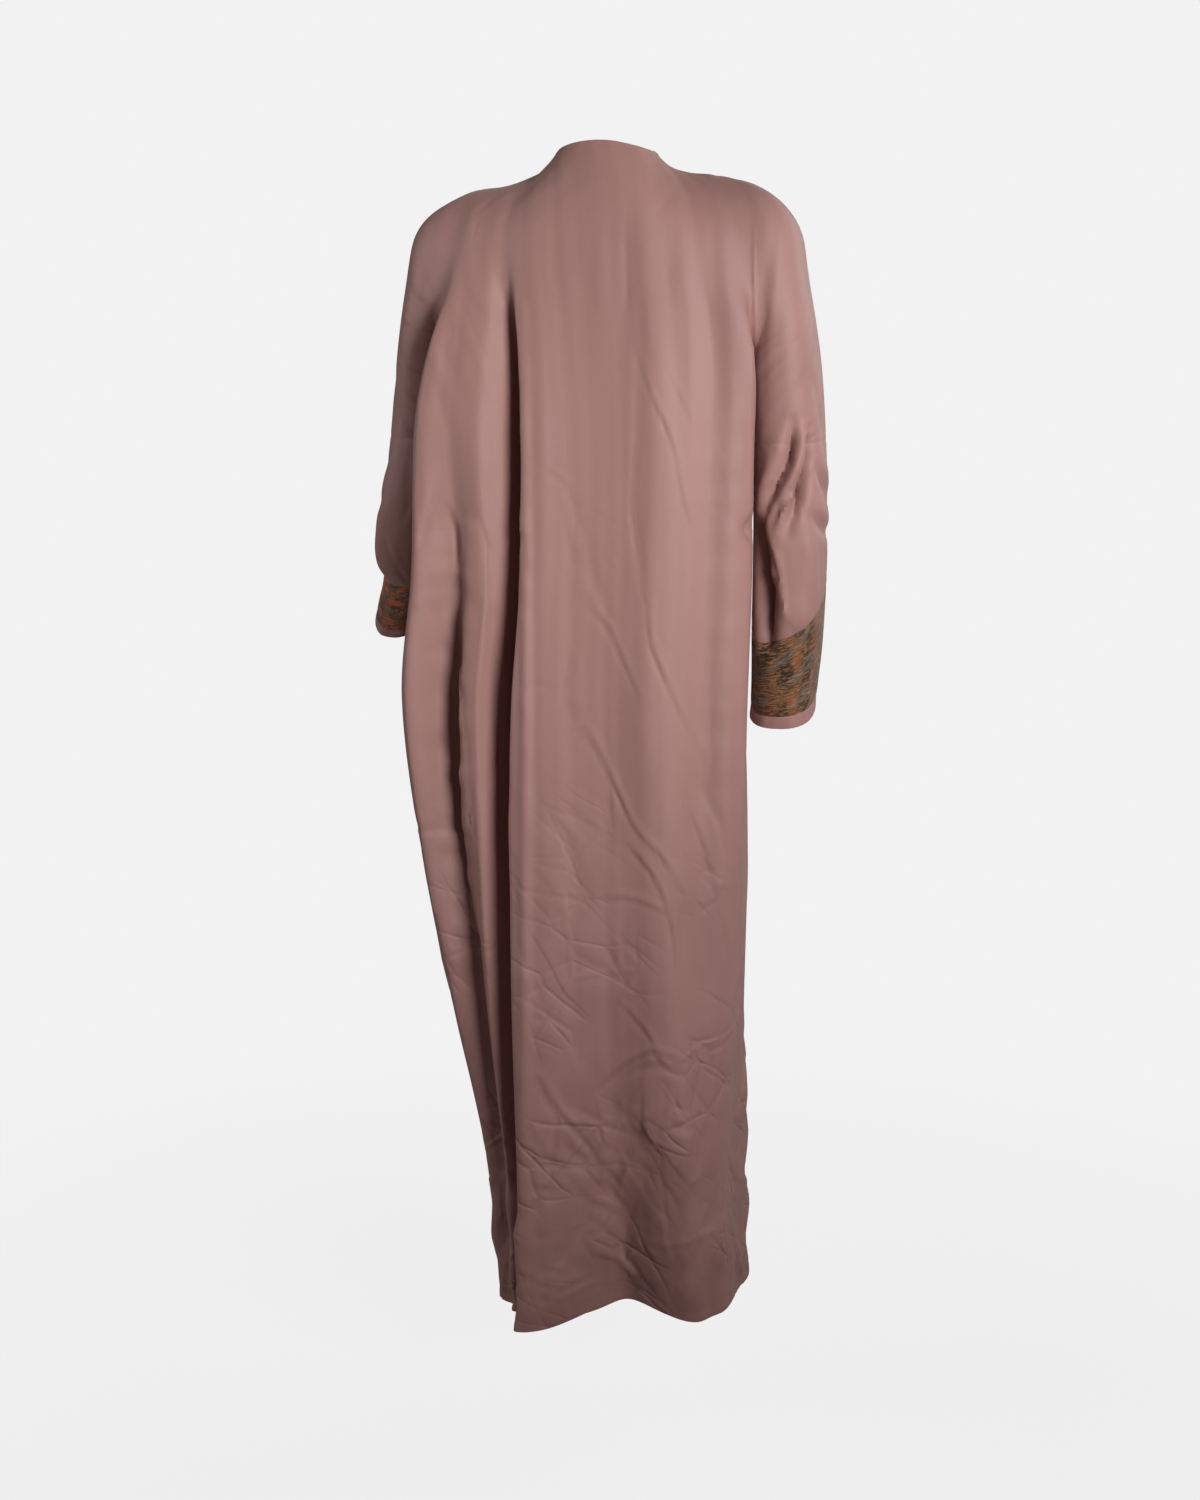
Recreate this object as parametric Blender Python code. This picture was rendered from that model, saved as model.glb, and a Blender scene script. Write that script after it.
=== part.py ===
"""Abaya cloak of satin crepe, open in front, hanging in its worn form.

The frame: +Z is up, the cloak's front looks towards -Y, and +X is the wearer's left.
The origin is where the shoulders carry it, midway between the two neck points.
Lengths are in metres and angles in degrees.

The whole cloak is first laid out as one surface, section by section, and then cut at
its seams into the pieces that a maker sews. Each piece gets its wall inwards.
"""

import math

import bmesh
import bpy
from mathutils import Vector

# Cloth and seams: each edge draws back from its seam by a share of the gap
WALL = 0.0015
SEAM_GAP = 0.0003
SEAM_PULL = 0.65
SHOULDER_PULL = 1.0

# Where faces meet at an angle the wall's inner points move further, up to this many walls
WALL_STRETCH = 2.2

# Points that round to the same key are one point of the surface
KEYS_PER_METRE = 100000

SHARP_ANGLE = 40

# Heights that divide the cloak
YOKE_Z = -0.10
UNDERARM_Z = -0.30
HEM_Z = -1.36

# Mesh rows and columns
YOKE_ROWS = 5
CHEST_ROWS = 6
SKIRT_ROWS = 18
ARM_COLUMNS = 9
VALLEY_COLUMNS = 2

# Neck
NECK_HALF_WIDTH = 0.056
NECK_BACK_DEPTH = 0.055
NECK_SIDE_Z = 0.0285
NECK_BACK_Z = 0.040

# How far the cloth rises before it turns inwards, at the neck and away from it
NECK_LIFT = 0.62
SHOULDER_LIFT = 1.0
NECK_LIFT_REACH = 0.5

# Over this share of the shoulder the columns crowd towards its tip, which rounds the tip
TIP_SPREAD = 0.25

# Front edges
FRONT_EDGE_X = 0.012
NECKLINE_END_Z = -0.17

# Shoulder seam: x outwards from the middle, height on the left and on the right shoulder
SHOULDER = (
    # x, left z, right z
    (0.056, 0.0270, 0.0285),
    (0.074, 0.0095, 0.0120),
    (0.095, -0.0010, 0.0055),
    (0.120, -0.0095, 0.0030),
    (0.150, -0.0140, -0.0025),
    (0.172, -0.0250, -0.0100),
    (0.195, -0.0400, -0.0250),
    (0.213, -0.0640, -0.0500),
)

# Body sections, a row for each height
BODY = (
    # z, left, right, back, front, corner
    (-0.10, 0.165, 0.165, 0.100, 0.085, 2.5),
    (-0.20, 0.168, 0.168, 0.112, 0.100, 2.6),
    (-0.30, 0.168, 0.166, 0.122, 0.112, 2.7),
    (-0.45, 0.172, 0.166, 0.130, 0.124, 2.7),
    (-0.60, 0.196, 0.164, 0.135, 0.132, 2.6),
    (-0.80, 0.188, 0.166, 0.138, 0.138, 2.5),
    (-1.00, 0.166, 0.162, 0.138, 0.142, 2.4),
    (-1.20, 0.133, 0.159, 0.136, 0.146, 2.4),
    (-1.36, 0.122, 0.164, 0.134, 0.148, 2.4),
)

# Arm sections, a row for each height: upper arm, sleeve, cuff and band
ARM_LEFT = (
    # z, centre x, centre y, half width, half depth, tilt and outward turn of the ring, slant
    (-0.10, 0.203, 0.000, 0.031, 0.060, 0.0, 0.0, 0.0),
    (-0.20, 0.210, -0.004, 0.040, 0.064, 0.0, 0.0, 0.0),
    (-0.30, 0.2175, -0.006, 0.0430, 0.064, 0.0, 0.0, 0.0),
    (-0.36, 0.226, -0.008, 0.0460, 0.066, 6.0, 4.0, 0.0),
    (-0.40, 0.232, -0.018, 0.0500, 0.067, 22.0, 14.0, 0.0),
    (-0.424, 0.239, -0.034, 0.0530, 0.065, 40.0, 22.0, 0.0),
    (-0.442, 0.244, -0.052, 0.0480, 0.059, 49.0, 26.0, 0.0),
    (-0.513, 0.283, -0.130, 0.0440, 0.053, 51.0, 26.0, 0.0),
    (-0.524, 0.289, -0.142, 0.0435, 0.052, 51.0, 26.0, 0.0),
)
ARM_RIGHT = (
    # z, centre x, centre y, half width, half depth, tilt and outward turn of the ring, slant
    (-0.10, 0.203, 0.000, 0.031, 0.060, 0.0, 0.0, 0.00),
    (-0.20, 0.210, -0.004, 0.040, 0.064, 0.0, 0.0, 0.00),
    (-0.30, 0.2165, -0.006, 0.0415, 0.064, 0.0, 0.0, 0.00),
    (-0.38, 0.2185, -0.008, 0.0430, 0.066, 6.0, 0.0, 0.00),
    (-0.45, 0.2180, -0.012, 0.0430, 0.066, 20.0, 0.0, 0.15),
    (-0.497, 0.2170, -0.018, 0.0435, 0.064, 30.0, 0.0, 0.45),
    (-0.560, 0.2130, -0.034, 0.0415, 0.060, 24.0, 0.0, 0.22),
    (-0.610, 0.2085, -0.044, 0.0390, 0.057, 16.0, 0.0, 0.04),
    (-0.627, 0.2070, -0.047, 0.0385, 0.056, 14.0, 0.0, 0.00),
)
ARM_CORNER = 2.4
CUFF_SEAM_Z = {"left": -0.442, "right": -0.497}
BAND_SEAM_Z = {"left": -0.513, "right": -0.610}
CUFF_END_Z = {"left": -0.524, "right": -0.627}

# Rings of the sleeves lie this far apart, closer where the rings are tilted on a bent arm
RING_STEP = 0.03
FOREARM_RING_STEP = {"left": 0.014, "right": 0.03}
BENT_TILT = 10

# Valley between body and arm: height and the depth in y of its floor, at the back and in front
VALLEY = (
    # z, back, front
    (-0.10, 0.056, -0.050),
    (-0.16, 0.053, -0.044),
    (-0.21, 0.038, -0.030),
    (-0.26, 0.016, -0.012),
    (-0.30, 0.000, 0.000),
)
VALLEY_SAG = 0.004

# The valley's foot stays on the side walls of body and arm, below these shares of their half depth
BODY_FOOT_LIMIT = 0.98
ARM_FOOT_LIMIT = 0.95

# High on the back the cloth spans this valley, from this share of the arm's columns to the fold
# beside it. The span is whole at the yoke line and ends at this height.
BRIDGE_START = 0.6
BRIDGE_END_Z = -0.23

# Folds run down the cloak along these lines. An angle is measured round the body from the
# left side seam (0) over the back (90) to the right side seam (180). The second group says how far
# the line stands out from the plain section. Both groups are stated at these heights.
FOLD_Z = (-0.10, -0.20, -0.30, -0.60, -1.00, -1.36)
FOLDS = (
    # name, angles, distances out, lift of the hem, columns to the next line
    (
        "left front edge",
        (-82, -84, -85, -86, -86, -86),
        (0, 0, 0, 0, 0, 0),
        0.000,
        4,
    ),
    (
        "left front fold",
        (-74, -73, -72, -70, -68, -66),
        (0, 0.002, 0.004, 0.010, 0.014, 0.018),
        0.000,
        4,
    ),
    (
        "left front hollow",
        (-60, -58, -56, -54, -52, -50),
        (0, -0.003, -0.006, -0.016, -0.022, -0.026),
        0.006,
        4,
    ),
    (
        "left front side fold",
        (-46, -42, -40, -36, -34, -32),
        (0, 0.002, 0.004, 0.010, 0.014, 0.018),
        0.000,
        4,
    ),
    (
        "left side",
        (0, 0, 0, 0, 0, 0),
        (0, 0, 0, 0, 0, 0),
        0.000,
        4,
    ),
    (
        "left wing",
        (34, 34, 33, 34, 30, 26),
        (0.024, 0.060, 0.072, 0.064, 0.022, 0.004),
        0.000,
        3,
    ),
    (
        "left wing hollow",
        (42, 44, 45, 43, 40, 38),
        (0.014, 0.036, 0.041, 0.004, -0.012, -0.004),
        0.000,
        3,
    ),
    (
        "left blade fold",
        (50, 57, 59, 57, 51, 46),
        (0.009, 0.014, 0.020, 0.012, 0.006, 0.004),
        0.000,
        2,
    ),
    (
        "deep hollow left",
        (54, 62, 65, 64, 57, 51),
        (0.004, -0.018, -0.030, -0.038, -0.032, -0.010),
        0.000,
        2,
    ),
    (
        "deep hollow right",
        (58, 65, 69, 67, 61, 55),
        (0.003, -0.022, -0.034, -0.042, -0.036, -0.012),
        0.000,
        2,
    ),
    (
        "back left fold",
        (62, 69, 73, 72, 67, 64),
        (0.002, 0.006, 0.010, 0.012, 0.018, 0.034),
        -0.006,
        4,
    ),
    (
        "back hollow",
        (94, 95, 96, 96, 101, 107),
        (-0.003, -0.004, -0.004, -0.004, -0.016, -0.054),
        0.016,
        5,
    ),
    (
        "back right fold",
        (120, 118, 117, 117, 127, 142),
        (0.003, 0.005, 0.006, 0.006, 0.006, 0.002),
        0.000,
        3,
    ),
    (
        "back right hollow",
        (134, 138, 138, 136, 139, 151),
        (0.004, 0.005, 0.005, 0.002, 0.000, 0.000),
        0.000,
        3,
    ),
    (
        "right edge fold",
        (150, 157, 159, 159, 156, 160),
        (0.020, 0.034, 0.031, 0.028, 0.008, 0.002),
        0.000,
        4,
    ),
    (
        "right side",
        (180, 180, 180, 180, 180, 180),
        (0, 0, 0, 0, 0, 0),
        0.000,
        4,
    ),
    (
        "right front side fold",
        (226, 222, 220, 216, 214, 212),
        (0, 0.002, 0.004, 0.006, 0.014, 0.018),
        0.000,
        4,
    ),
    (
        "right front hollow",
        (240, 239, 238, 234, 232, 228),
        (0, -0.004, -0.008, -0.016, -0.020, -0.024),
        0.008,
        4,
    ),
    (
        "right front fold",
        (254, 253, 252, 250, 248, 246),
        (0, 0.002, 0.004, 0.008, 0.014, 0.020),
        0.000,
        4,
    ),
    (
        "right front edge",
        (262, 264, 265, 266, 266, 266),
        (0, 0, 0, 0, 0, 0),
        0.000,
        0,
    ),
)
LIFT_START_Z = -0.95

NECK_LEFT_FOLD = "back left fold"
NECK_RIGHT_FOLD = "back right fold"

# Materials: base colour, roughness
SATIN_COLOUR = (0.36, 0.19, 0.17, 1.0)
SATIN_ROUGHNESS = 0.5
BROCADE_COLOUR = (0.12, 0.06, 0.045, 1.0)
BROCADE_ROUGHNESS = 0.6

COLLECTION = "abaya_cloak"


def smooth(share):
    """An S-curve from 0 to 1."""
    share = min(max(share, 0.0), 1.0)
    return share * share * (3.0 - 2.0 * share)


def mix(start, end, share):
    """Value at a share of the way from start to end."""
    return start + (end - start) * share


def curve(stations, values, where):
    """Value at a place on the smooth curve through the stations, which run downwards."""
    last = len(stations) - 1
    if where >= stations[0]:
        return values[0]
    if where <= stations[last]:
        return values[last]
    span = 0
    while where < stations[span + 1]:
        span += 1

    def slope(index):
        before = max(index - 1, 0)
        after = min(index + 1, last)
        return (values[after] - values[before]) / (stations[after] - stations[before])

    run = stations[span + 1] - stations[span]
    share = (where - stations[span]) / run
    square = share * share
    cube = square * share
    return (
        (2 * cube - 3 * square + 1) * values[span]
        + (cube - 2 * square + share) * run * slope(span)
        + (3 * square - 2 * cube) * values[span + 1]
        + (cube - square) * run * slope(span + 1)
    )


def from_table(table, column, z):
    """A column's value at a height."""
    return curve([row[0] for row in table], [row[column] for row in table], z)


def rounded(share, corner):
    """Share of a half width or depth on a section whose corners are fuller than an ellipse's."""
    return math.copysign(abs(share) ** (2 / corner), share)


def section_point(z, angle, out):
    """A point of the body's section at a height, moved out from it."""
    left = from_table(BODY, 1, z)
    right = from_table(BODY, 2, z)
    back = from_table(BODY, 3, z)
    front = from_table(BODY, 4, z)
    corner = from_table(BODY, 5, z)
    turn = math.radians(angle)
    across = math.cos(turn)
    along = math.sin(turn)
    half_width = left if across > 0 else right
    half_depth = back if along > 0 else front
    x = half_width * rounded(across, corner)
    y = half_depth * rounded(along, corner)
    away = Vector((x / half_width**2, y / half_depth**2, 0)).normalized()
    return Vector((x, y, z)) + away * out


def angle_at_depth(z, y, side):
    """Angle on the section's side wall where it reaches a depth in y."""
    half_depth = from_table(BODY, 3 if y > 0 else 4, z)
    corner = from_table(BODY, 5, z)
    share = min(abs(y) / half_depth, BODY_FOOT_LIMIT)
    turn = math.degrees(math.asin(share ** (corner / 2)))
    turn = math.copysign(turn, y)
    return turn if side == "left" else 180 - turn


def edge_angle(z, side):
    """Angle of the front edge, which stands a set distance from the middle."""
    share = smooth((z - NECKLINE_END_Z) / (NECK_SIDE_Z - NECKLINE_END_Z))
    x = mix(FRONT_EDGE_X, NECK_HALF_WIDTH, share)
    half_width = from_table(BODY, 1 if side == "left" else 2, z)
    corner = from_table(BODY, 5, z)
    turn = math.degrees(math.acos((x / half_width) ** (corner / 2)))
    return -turn if side == "left" else 180 + turn


def fold_lines(z):
    """Name, angle, distance out, lift and columns of each fold line at a height."""
    lifted = smooth((LIFT_START_Z - z) / (LIFT_START_Z - HEM_Z))
    lines = []
    for name, angles, outs, lift, columns in FOLDS:
        angle = curve(FOLD_Z, angles, z)
        out = curve(FOLD_Z, outs, z)
        if name == "left front edge":
            angle = edge_angle(z, "left")
        if name == "right front edge":
            angle = edge_angle(z, "right")
        lines.append((name, angle, out, lift * lifted, columns))
    return lines


def slopes_of(stations, values):
    """Slopes of a curve through the stations that is level at its highs, lows and ends."""
    pitches = [
        (after - before) / (far - near)
        for before, after, near, far in zip(values, values[1:], stations, stations[1:])
    ]
    slopes = [0.0]
    for before, after in zip(pitches, pitches[1:]):
        level = before * after <= 0
        slopes.append(0.0 if level else 2 * before * after / (before + after))
    return slopes + [0.0]


def eased(start, end, start_pitch, end_pitch, share):
    """Value at a share of the way, leaving and arriving at the given pitches."""
    square = share * share
    cube = square * share
    return (
        (2 * cube - 3 * square + 1) * start
        + (cube - 2 * square + share) * start_pitch
        + (3 * square - 2 * cube) * end
        + (cube - square) * end_pitch
    )


def run_between(z, first, last, first_angle=None, last_angle=None):
    """Points of the body's section from one fold line to another."""
    lines = fold_lines(z)
    names = [line[0] for line in lines]
    lines = lines[names.index(first) : names.index(last) + 1]
    angles = [line[1] for line in lines]
    if first_angle is not None:
        angles[0] = first_angle
    if last_angle is not None:
        angles[-1] = last_angle
    outs = [line[2] for line in lines]
    lifts = [line[3] for line in lines]
    out_slopes = slopes_of(angles, outs)
    lift_slopes = slopes_of(angles, lifts)
    points = []
    for index in range(len(lines) - 1):
        span = angles[index + 1] - angles[index]
        columns = lines[index][4]
        final = index == len(lines) - 2
        for step in range(columns + 1 if final else columns):
            share = step / columns
            pitches = [slope * span for slope in out_slopes[index : index + 2]]
            out = eased(outs[index], outs[index + 1], *pitches, share)
            pitches = [slope * span for slope in lift_slopes[index : index + 2]]
            lift = eased(lifts[index], lifts[index + 1], *pitches, share)
            point = section_point(z, angles[index] + span * share, out)
            point.z += lift
            points.append(point)
    return points


def column_of(first, name):
    """Column at which a fold line lies, counted from the first line."""
    names = [fold[0] for fold in FOLDS]
    start = names.index(first)
    return sum(fold[-1] for fold in FOLDS[start : names.index(name)])


def arm_ring_point(row, side, turn):
    """A point of an arm's ring; turn 0 is its outer side, 90 its back and 180 its inner side."""
    _, x, y, half_width, half_depth, tilt, swing, slant = row
    sign = 1 if side == "left" else -1
    across = half_width * rounded(math.cos(math.radians(turn)), ARM_CORNER)
    along = half_depth * rounded(math.sin(math.radians(turn)), ARM_CORNER)
    tilt = math.radians(tilt)
    swing = math.radians(swing)
    local = Vector((across, along * math.cos(tilt), -along * math.sin(tilt)))
    turned_x = local.x * math.cos(swing) + local.y * math.sin(swing)
    turned_y = local.y * math.cos(swing) - local.x * math.sin(swing)
    z = row[0] + local.z + across * slant
    return Vector((sign * (x + turned_x), y + turned_y, z))


def arm_row(table, z):
    """The arm section at a height, with the table's columns."""
    values = [from_table(table, column, z) for column in range(1, len(table[0]))]
    return [z] + values


def inner_turn(row, y):
    """Turn at which the inner side of an arm's ring reaches a depth in y."""
    share = (y - row[2]) / row[4]
    share = max(-ARM_FOOT_LIMIT, min(ARM_FOOT_LIMIT, share))
    return 180 - math.degrees(math.asin(rounded(share, 4 / ARM_CORNER)))


def arm_points(side, z, floor_y, face):
    """Points of the arm from its outer line to the valley floor, round its back or its front."""
    table = ARM_LEFT if side == "left" else ARM_RIGHT
    row = arm_row(table, z)
    last = inner_turn(row, floor_y)
    if face == "front":
        last = last - 360
    return [arm_ring_point(row, side, last * step / ARM_COLUMNS) for step in range(ARM_COLUMNS + 1)]


def level_side(side, z, face):
    """Arm and valley on one side from the outer line inwards, and the angle of the body's foot there."""
    floor_y = from_table(VALLEY, 1 if face == "back" else 2, z)
    arm = arm_points(side, z, floor_y, face)
    foot_angle = angle_at_depth(z, floor_y, side)
    foot = section_point(z, foot_angle, 0.0)
    sag = math.copysign(VALLEY_SAG, floor_y) * min(1.0, abs(floor_y) / (2 * VALLEY_SAG))
    valley = []
    for step in range(1, VALLEY_COLUMNS):
        share = step / VALLEY_COLUMNS
        middle = arm[-1].lerp(foot, share)
        middle.y -= sag
        valley.append(middle)
    return arm + valley, foot_angle


def bridged(row, start, stop, share):
    """A row whose cloth is lifted out of a valley, from one column to another, by a share."""
    first = row[start]
    last = row[stop]
    chord = (last - first).length
    leaving = (first - row[start - 1]).normalized() * chord
    arriving = (row[stop + 1] - last).normalized() * chord
    lifted = list(row)
    for column in range(start + 1, stop):
        way = (column - start) / (stop - start)
        over = Vector([eased(*values, way) for values in zip(first, last, leaving, arriving)])
        lifted[column] = row[column].lerp(over, share)
    return lifted


def back_row(z):
    """The whole back at a height above the underarm, from the left arm to the right one."""
    left, left_angle = level_side("left", z, "back")
    right, right_angle = level_side("right", z, "back")
    body = run_between(z, "left side", "right side", left_angle, right_angle)
    row = left + body + right[::-1]
    share = 1 - smooth((YOKE_Z - z) / (YOKE_Z - BRIDGE_END_Z))
    start = round(ARM_COLUMNS * BRIDGE_START)
    inner = ARM_COLUMNS + VALLEY_COLUMNS
    row = bridged(row, start, inner + column_of("left side", "left wing"), share)
    outer = len(row) - 1 - inner - column_of("right edge fold", "right side")
    return bridged(row, outer, len(row) - 1 - start, share)


def front_row(z, side):
    """One front at a height above the underarm, from the arm to its open edge."""
    arm, foot_angle = level_side(side, z, "front")
    if side == "left":
        body = run_between(z, "left front edge", "left side", None, foot_angle)[::-1]
    else:
        body = run_between(z, "right side", "right front edge", foot_angle, None)
    return arm + body


def shoulder_z(x, side):
    """Height of the shoulder seam at a distance from the middle."""
    column = 1 if side == "left" else 2
    stations = [-row[0] for row in SHOULDER]
    return curve(stations, [row[column] for row in SHOULDER], -abs(x))


def shoulder_line(level, neck_column):
    """Top edge from the shoulder's tip to the neck point, spread as the row below it is."""
    tip = SHOULDER[-1][0]
    side = "left" if level[0].x > 0 else "right"
    sign = 1 if side == "left" else -1
    run = [0.0]
    for before, after in zip(level[:neck_column], level[1:]):
        run.append(run[-1] + (after - before).length)
    line = []
    for distance in run:
        share = distance / run[-1]
        share = share * share * (1 + TIP_SPREAD) / (share + TIP_SPREAD)
        x = mix(tip, NECK_HALF_WIDTH, share)
        line.append(Vector((sign * x, 0.0, shoulder_z(x, side))))
    return line


def dome(level, top, lifts):
    """Rows from a top edge down to the section under it, rounded over the shoulder."""
    rows = []
    for step in range(YOKE_ROWS):
        rise = 1 - step / YOKE_ROWS
        row = []
        for low, high, lift in zip(level, top, lifts):
            end = lift * math.pi / 2
            up = math.sin(rise * end) / math.sin(end)
            inward = (1 - math.cos(rise * end)) / (1 - math.cos(end))
            row.append(Vector((
                mix(low.x, high.x, inward),
                mix(low.y, high.y, inward),
                mix(low.z, high.z, up),
            )))
        rows.append(row)
    return rows


def back_top(level):
    """Shoulder seams and the neckline between them."""
    offset = ARM_COLUMNS + VALLEY_COLUMNS
    neck_left = offset + column_of("left side", NECK_LEFT_FOLD)
    neck_right = offset + column_of("left side", NECK_RIGHT_FOLD)
    left = shoulder_line(level, neck_left)
    right = shoulder_line(level[::-1], len(level) - 1 - neck_right)
    arc = []
    columns = neck_right - neck_left
    for step in range(1, columns):
        turn = math.pi * step / columns
        arc.append(Vector((
            NECK_HALF_WIDTH * math.cos(turn),
            NECK_BACK_DEPTH * math.sin(turn),
            mix(NECK_SIDE_Z, NECK_BACK_Z, math.sin(turn) ** 2),
        )))
    lifts = []
    for index in range(len(level)):
        far = max(neck_left - index, index - neck_right, 0) / neck_left
        lifts.append(mix(NECK_LIFT, SHOULDER_LIFT, smooth(far / NECK_LIFT_REACH)))
    return left + arc + right[::-1], lifts


def front_top(level):
    """Shoulder seam of one front; its last column is the neck point."""
    line = shoulder_line(level, len(level) - 1)
    lifts = [SHOULDER_LIFT] * len(level)
    return line, lifts


def chest_heights():
    """Heights of the rows where body and arms are one."""
    return [mix(YOKE_Z, UNDERARM_Z, step / CHEST_ROWS) for step in range(CHEST_ROWS + 1)]


def skirt_heights():
    """Heights of the rows from the underarm to the hem."""
    return [mix(UNDERARM_Z, HEM_Z, step / SKIRT_ROWS) for step in range(SKIRT_ROWS + 1)]


def grid_faces(rows):
    """Four corner points of each cell of a grid of rows."""
    faces = []
    for upper, lower in zip(rows, rows[1:]):
        for index in range(len(upper) - 1):
            faces.append((upper[index], lower[index], lower[index + 1], upper[index + 1]))
    return faces


def turned(faces):
    """The same faces seen from the other side."""
    return [face[::-1] for face in faces]


def back_faces():
    """Faces of the back, which takes in the backs of both upper arms."""
    level = back_row(YOKE_Z)
    top, lifts = back_top(level)
    upper = dome(level, top, lifts) + [back_row(z) for z in chest_heights()]
    skirt = [run_between(z, "left side", "right side") for z in skirt_heights()]
    return grid_faces(upper) + grid_faces(skirt)


def front_faces(side):
    """Faces of one front, which takes in the front of its upper arm."""
    level = front_row(YOKE_Z, side)
    top, lifts = front_top(level)
    upper = dome(level, top, lifts) + [front_row(z, side) for z in chest_heights()]
    if side == "left":
        skirt = [run_between(z, "left front edge", "left side") for z in skirt_heights()]
        return turned(grid_faces(upper)) + grid_faces(skirt)
    skirt = [run_between(z, "right side", "right front edge") for z in skirt_heights()]
    return grid_faces(upper) + grid_faces(skirt)


def ring(side, z):
    """One ring of a sleeve, with columns where the sleeve meets the body pieces."""
    table = ARM_LEFT if side == "left" else ARM_RIGHT
    foot = inner_turn(arm_row(table, UNDERARM_Z), 0.0)
    turns = [foot * step / ARM_COLUMNS for step in range(ARM_COLUMNS + 1)]
    turns += [360 + (foot - 360) * step / ARM_COLUMNS for step in range(ARM_COLUMNS - 1, -1, -1)]
    points = [arm_ring_point(arm_row(table, z), side, turn) for turn in turns]
    points[-1] = points[0]
    return points


def ring_heights(side, top, bottom):
    """Heights of the rings between two seams, closer together on a bent forearm."""
    table = ARM_LEFT if side == "left" else ARM_RIGHT
    stations = [top] + [row[0] for row in table if bottom < row[0] < top] + [bottom]
    heights = []
    for upper, lower in zip(stations, stations[1:]):
        bent = from_table(table, 5, lower) > BENT_TILT
        longest = FOREARM_RING_STEP[side] if bent else RING_STEP
        steps = max(1, round((upper - lower) / longest))
        heights += [mix(upper, lower, step / steps) for step in range(steps)]
    return heights + [bottom]


def tube_faces(side, top, bottom):
    """Faces of a sleeve's part between two seams."""
    faces = grid_faces([ring(side, z) for z in ring_heights(side, top, bottom)])
    return faces if side == "left" else turned(faces)


def key_of(point):
    """One key for points that meet at a seam."""
    return tuple(round(value * KEYS_PER_METRE) for value in point)


def surface_normals(pieces):
    """Outward direction and wall stretch at each point of the whole, uncut surface."""
    around = {}
    for faces in pieces.values():
        for face in faces:
            diagonal_a = face[2] - face[0]
            diagonal_b = face[3] - face[1]
            area = diagonal_a.cross(diagonal_b)
            for point in face:
                around.setdefault(key_of(point), []).append(area)
    normals = {}
    for key, areas in around.items():
        total = Vector((0, 0, 0))
        for area in areas:
            total += area.normalized()
        normal = total.normalized()
        if on_shoulder_seam(key):
            normal = Vector((normal.x, 0, normal.z)).normalized()
        closest = min(normal.dot(area.normalized()) for area in areas)
        stretch = 1 / max(closest, 1 / WALL_STRETCH)
        normals[key] = (normal, stretch)
    return normals


def on_shoulder_seam(key):
    """Shoulder seams lie in the plane between back and fronts."""
    return key[1] == 0 and key[2] > key_of((0, 0, YOKE_Z))[2]


def shared_points(pieces):
    """Keys of the points that more than one piece has."""
    owners = {}
    for name, faces in pieces.items():
        for face in faces:
            for point in face:
                owners.setdefault(key_of(point), set()).add(name)
    return {key for key, names in owners.items() if len(names) > 1}


def seam_move(vert, normal, shoulder):
    """Move that draws a point at a seam back into its own piece, along the cloth."""
    inward = Vector((0, 0, 0))
    for face in vert.link_faces:
        inward += (face.calc_center_median() - vert.co).normalized()
    if shoulder:
        inward = Vector((0, inward.y, 0))
        return inward.normalized() * (SEAM_GAP * SHOULDER_PULL)
    inward -= normal * inward.dot(normal)
    if len(vert.link_faces) > 1:
        edges = [edge for edge in vert.link_edges if edge.is_boundary]
        for edge in edges:
            along = (edge.other_vert(vert).co - vert.co).normalized()
            inward -= along * inward.dot(along) / len(edges)
    return inward.normalized() * (SEAM_GAP * SEAM_PULL)


def wall_mesh(name, faces, normals, shared):
    """Closed wall of one piece: its outer face, the same face moved in, and a rim between them."""
    mesh = bmesh.new()
    outer = {}
    for face in faces:
        for point in face:
            key = key_of(point)
            if key not in outer:
                outer[key] = mesh.verts.new(point)
    for face in faces:
        mesh.faces.new([outer[key_of(point)] for point in face])
    moves = {}
    for key, vert in outer.items():
        shoulder = on_shoulder_seam(key)
        if shoulder or key in shared:
            moves[key] = seam_move(vert, normals[key][0], shoulder)
    for key, move in moves.items():
        outer[key].co += move
    inner = {}
    for key, vert in outer.items():
        normal, stretch = normals[key]
        inner[vert] = mesh.verts.new(vert.co - normal * (WALL * stretch))
    rims = []
    for edge in mesh.edges:
        if edge.is_boundary:
            first = edge.link_loops[0].vert
            second = edge.other_vert(first)
            rims.append((second, first, inner[first], inner[second]))
    for face in list(mesh.faces):
        mesh.faces.new([inner[vert] for vert in face.verts][::-1])
    for rim in rims:
        mesh.faces.new(rim)
    data = bpy.data.meshes.new(name)
    mesh.to_mesh(data)
    mesh.free()
    data.shade_smooth()
    data.set_sharp_from_angle(angle=math.radians(SHARP_ANGLE))
    return data


def material(name, colour, roughness):
    """A material of one colour and roughness."""
    made = bpy.data.materials.new(name)
    made.use_nodes = True
    shader = made.node_tree.nodes["Principled BSDF"]
    shader.inputs["Base Color"].default_value = colour
    shader.inputs["Roughness"].default_value = roughness
    shader.inputs["Metallic"].default_value = 0.0
    return made


def whole_cloak():
    """Faces of every piece, laid out on one surface."""
    pieces = {
        "back": back_faces(),
        "front_left": front_faces("left"),
        "front_right": front_faces("right"),
    }
    for side in ("left", "right"):
        pieces["sleeve_" + side] = tube_faces(side, UNDERARM_Z, CUFF_SEAM_Z[side])
        pieces["cuff_" + side] = tube_faces(side, CUFF_SEAM_Z[side], BAND_SEAM_Z[side])
        pieces["cuff_band_" + side] = tube_faces(side, BAND_SEAM_Z[side], CUFF_END_Z[side])
    return pieces


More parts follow.
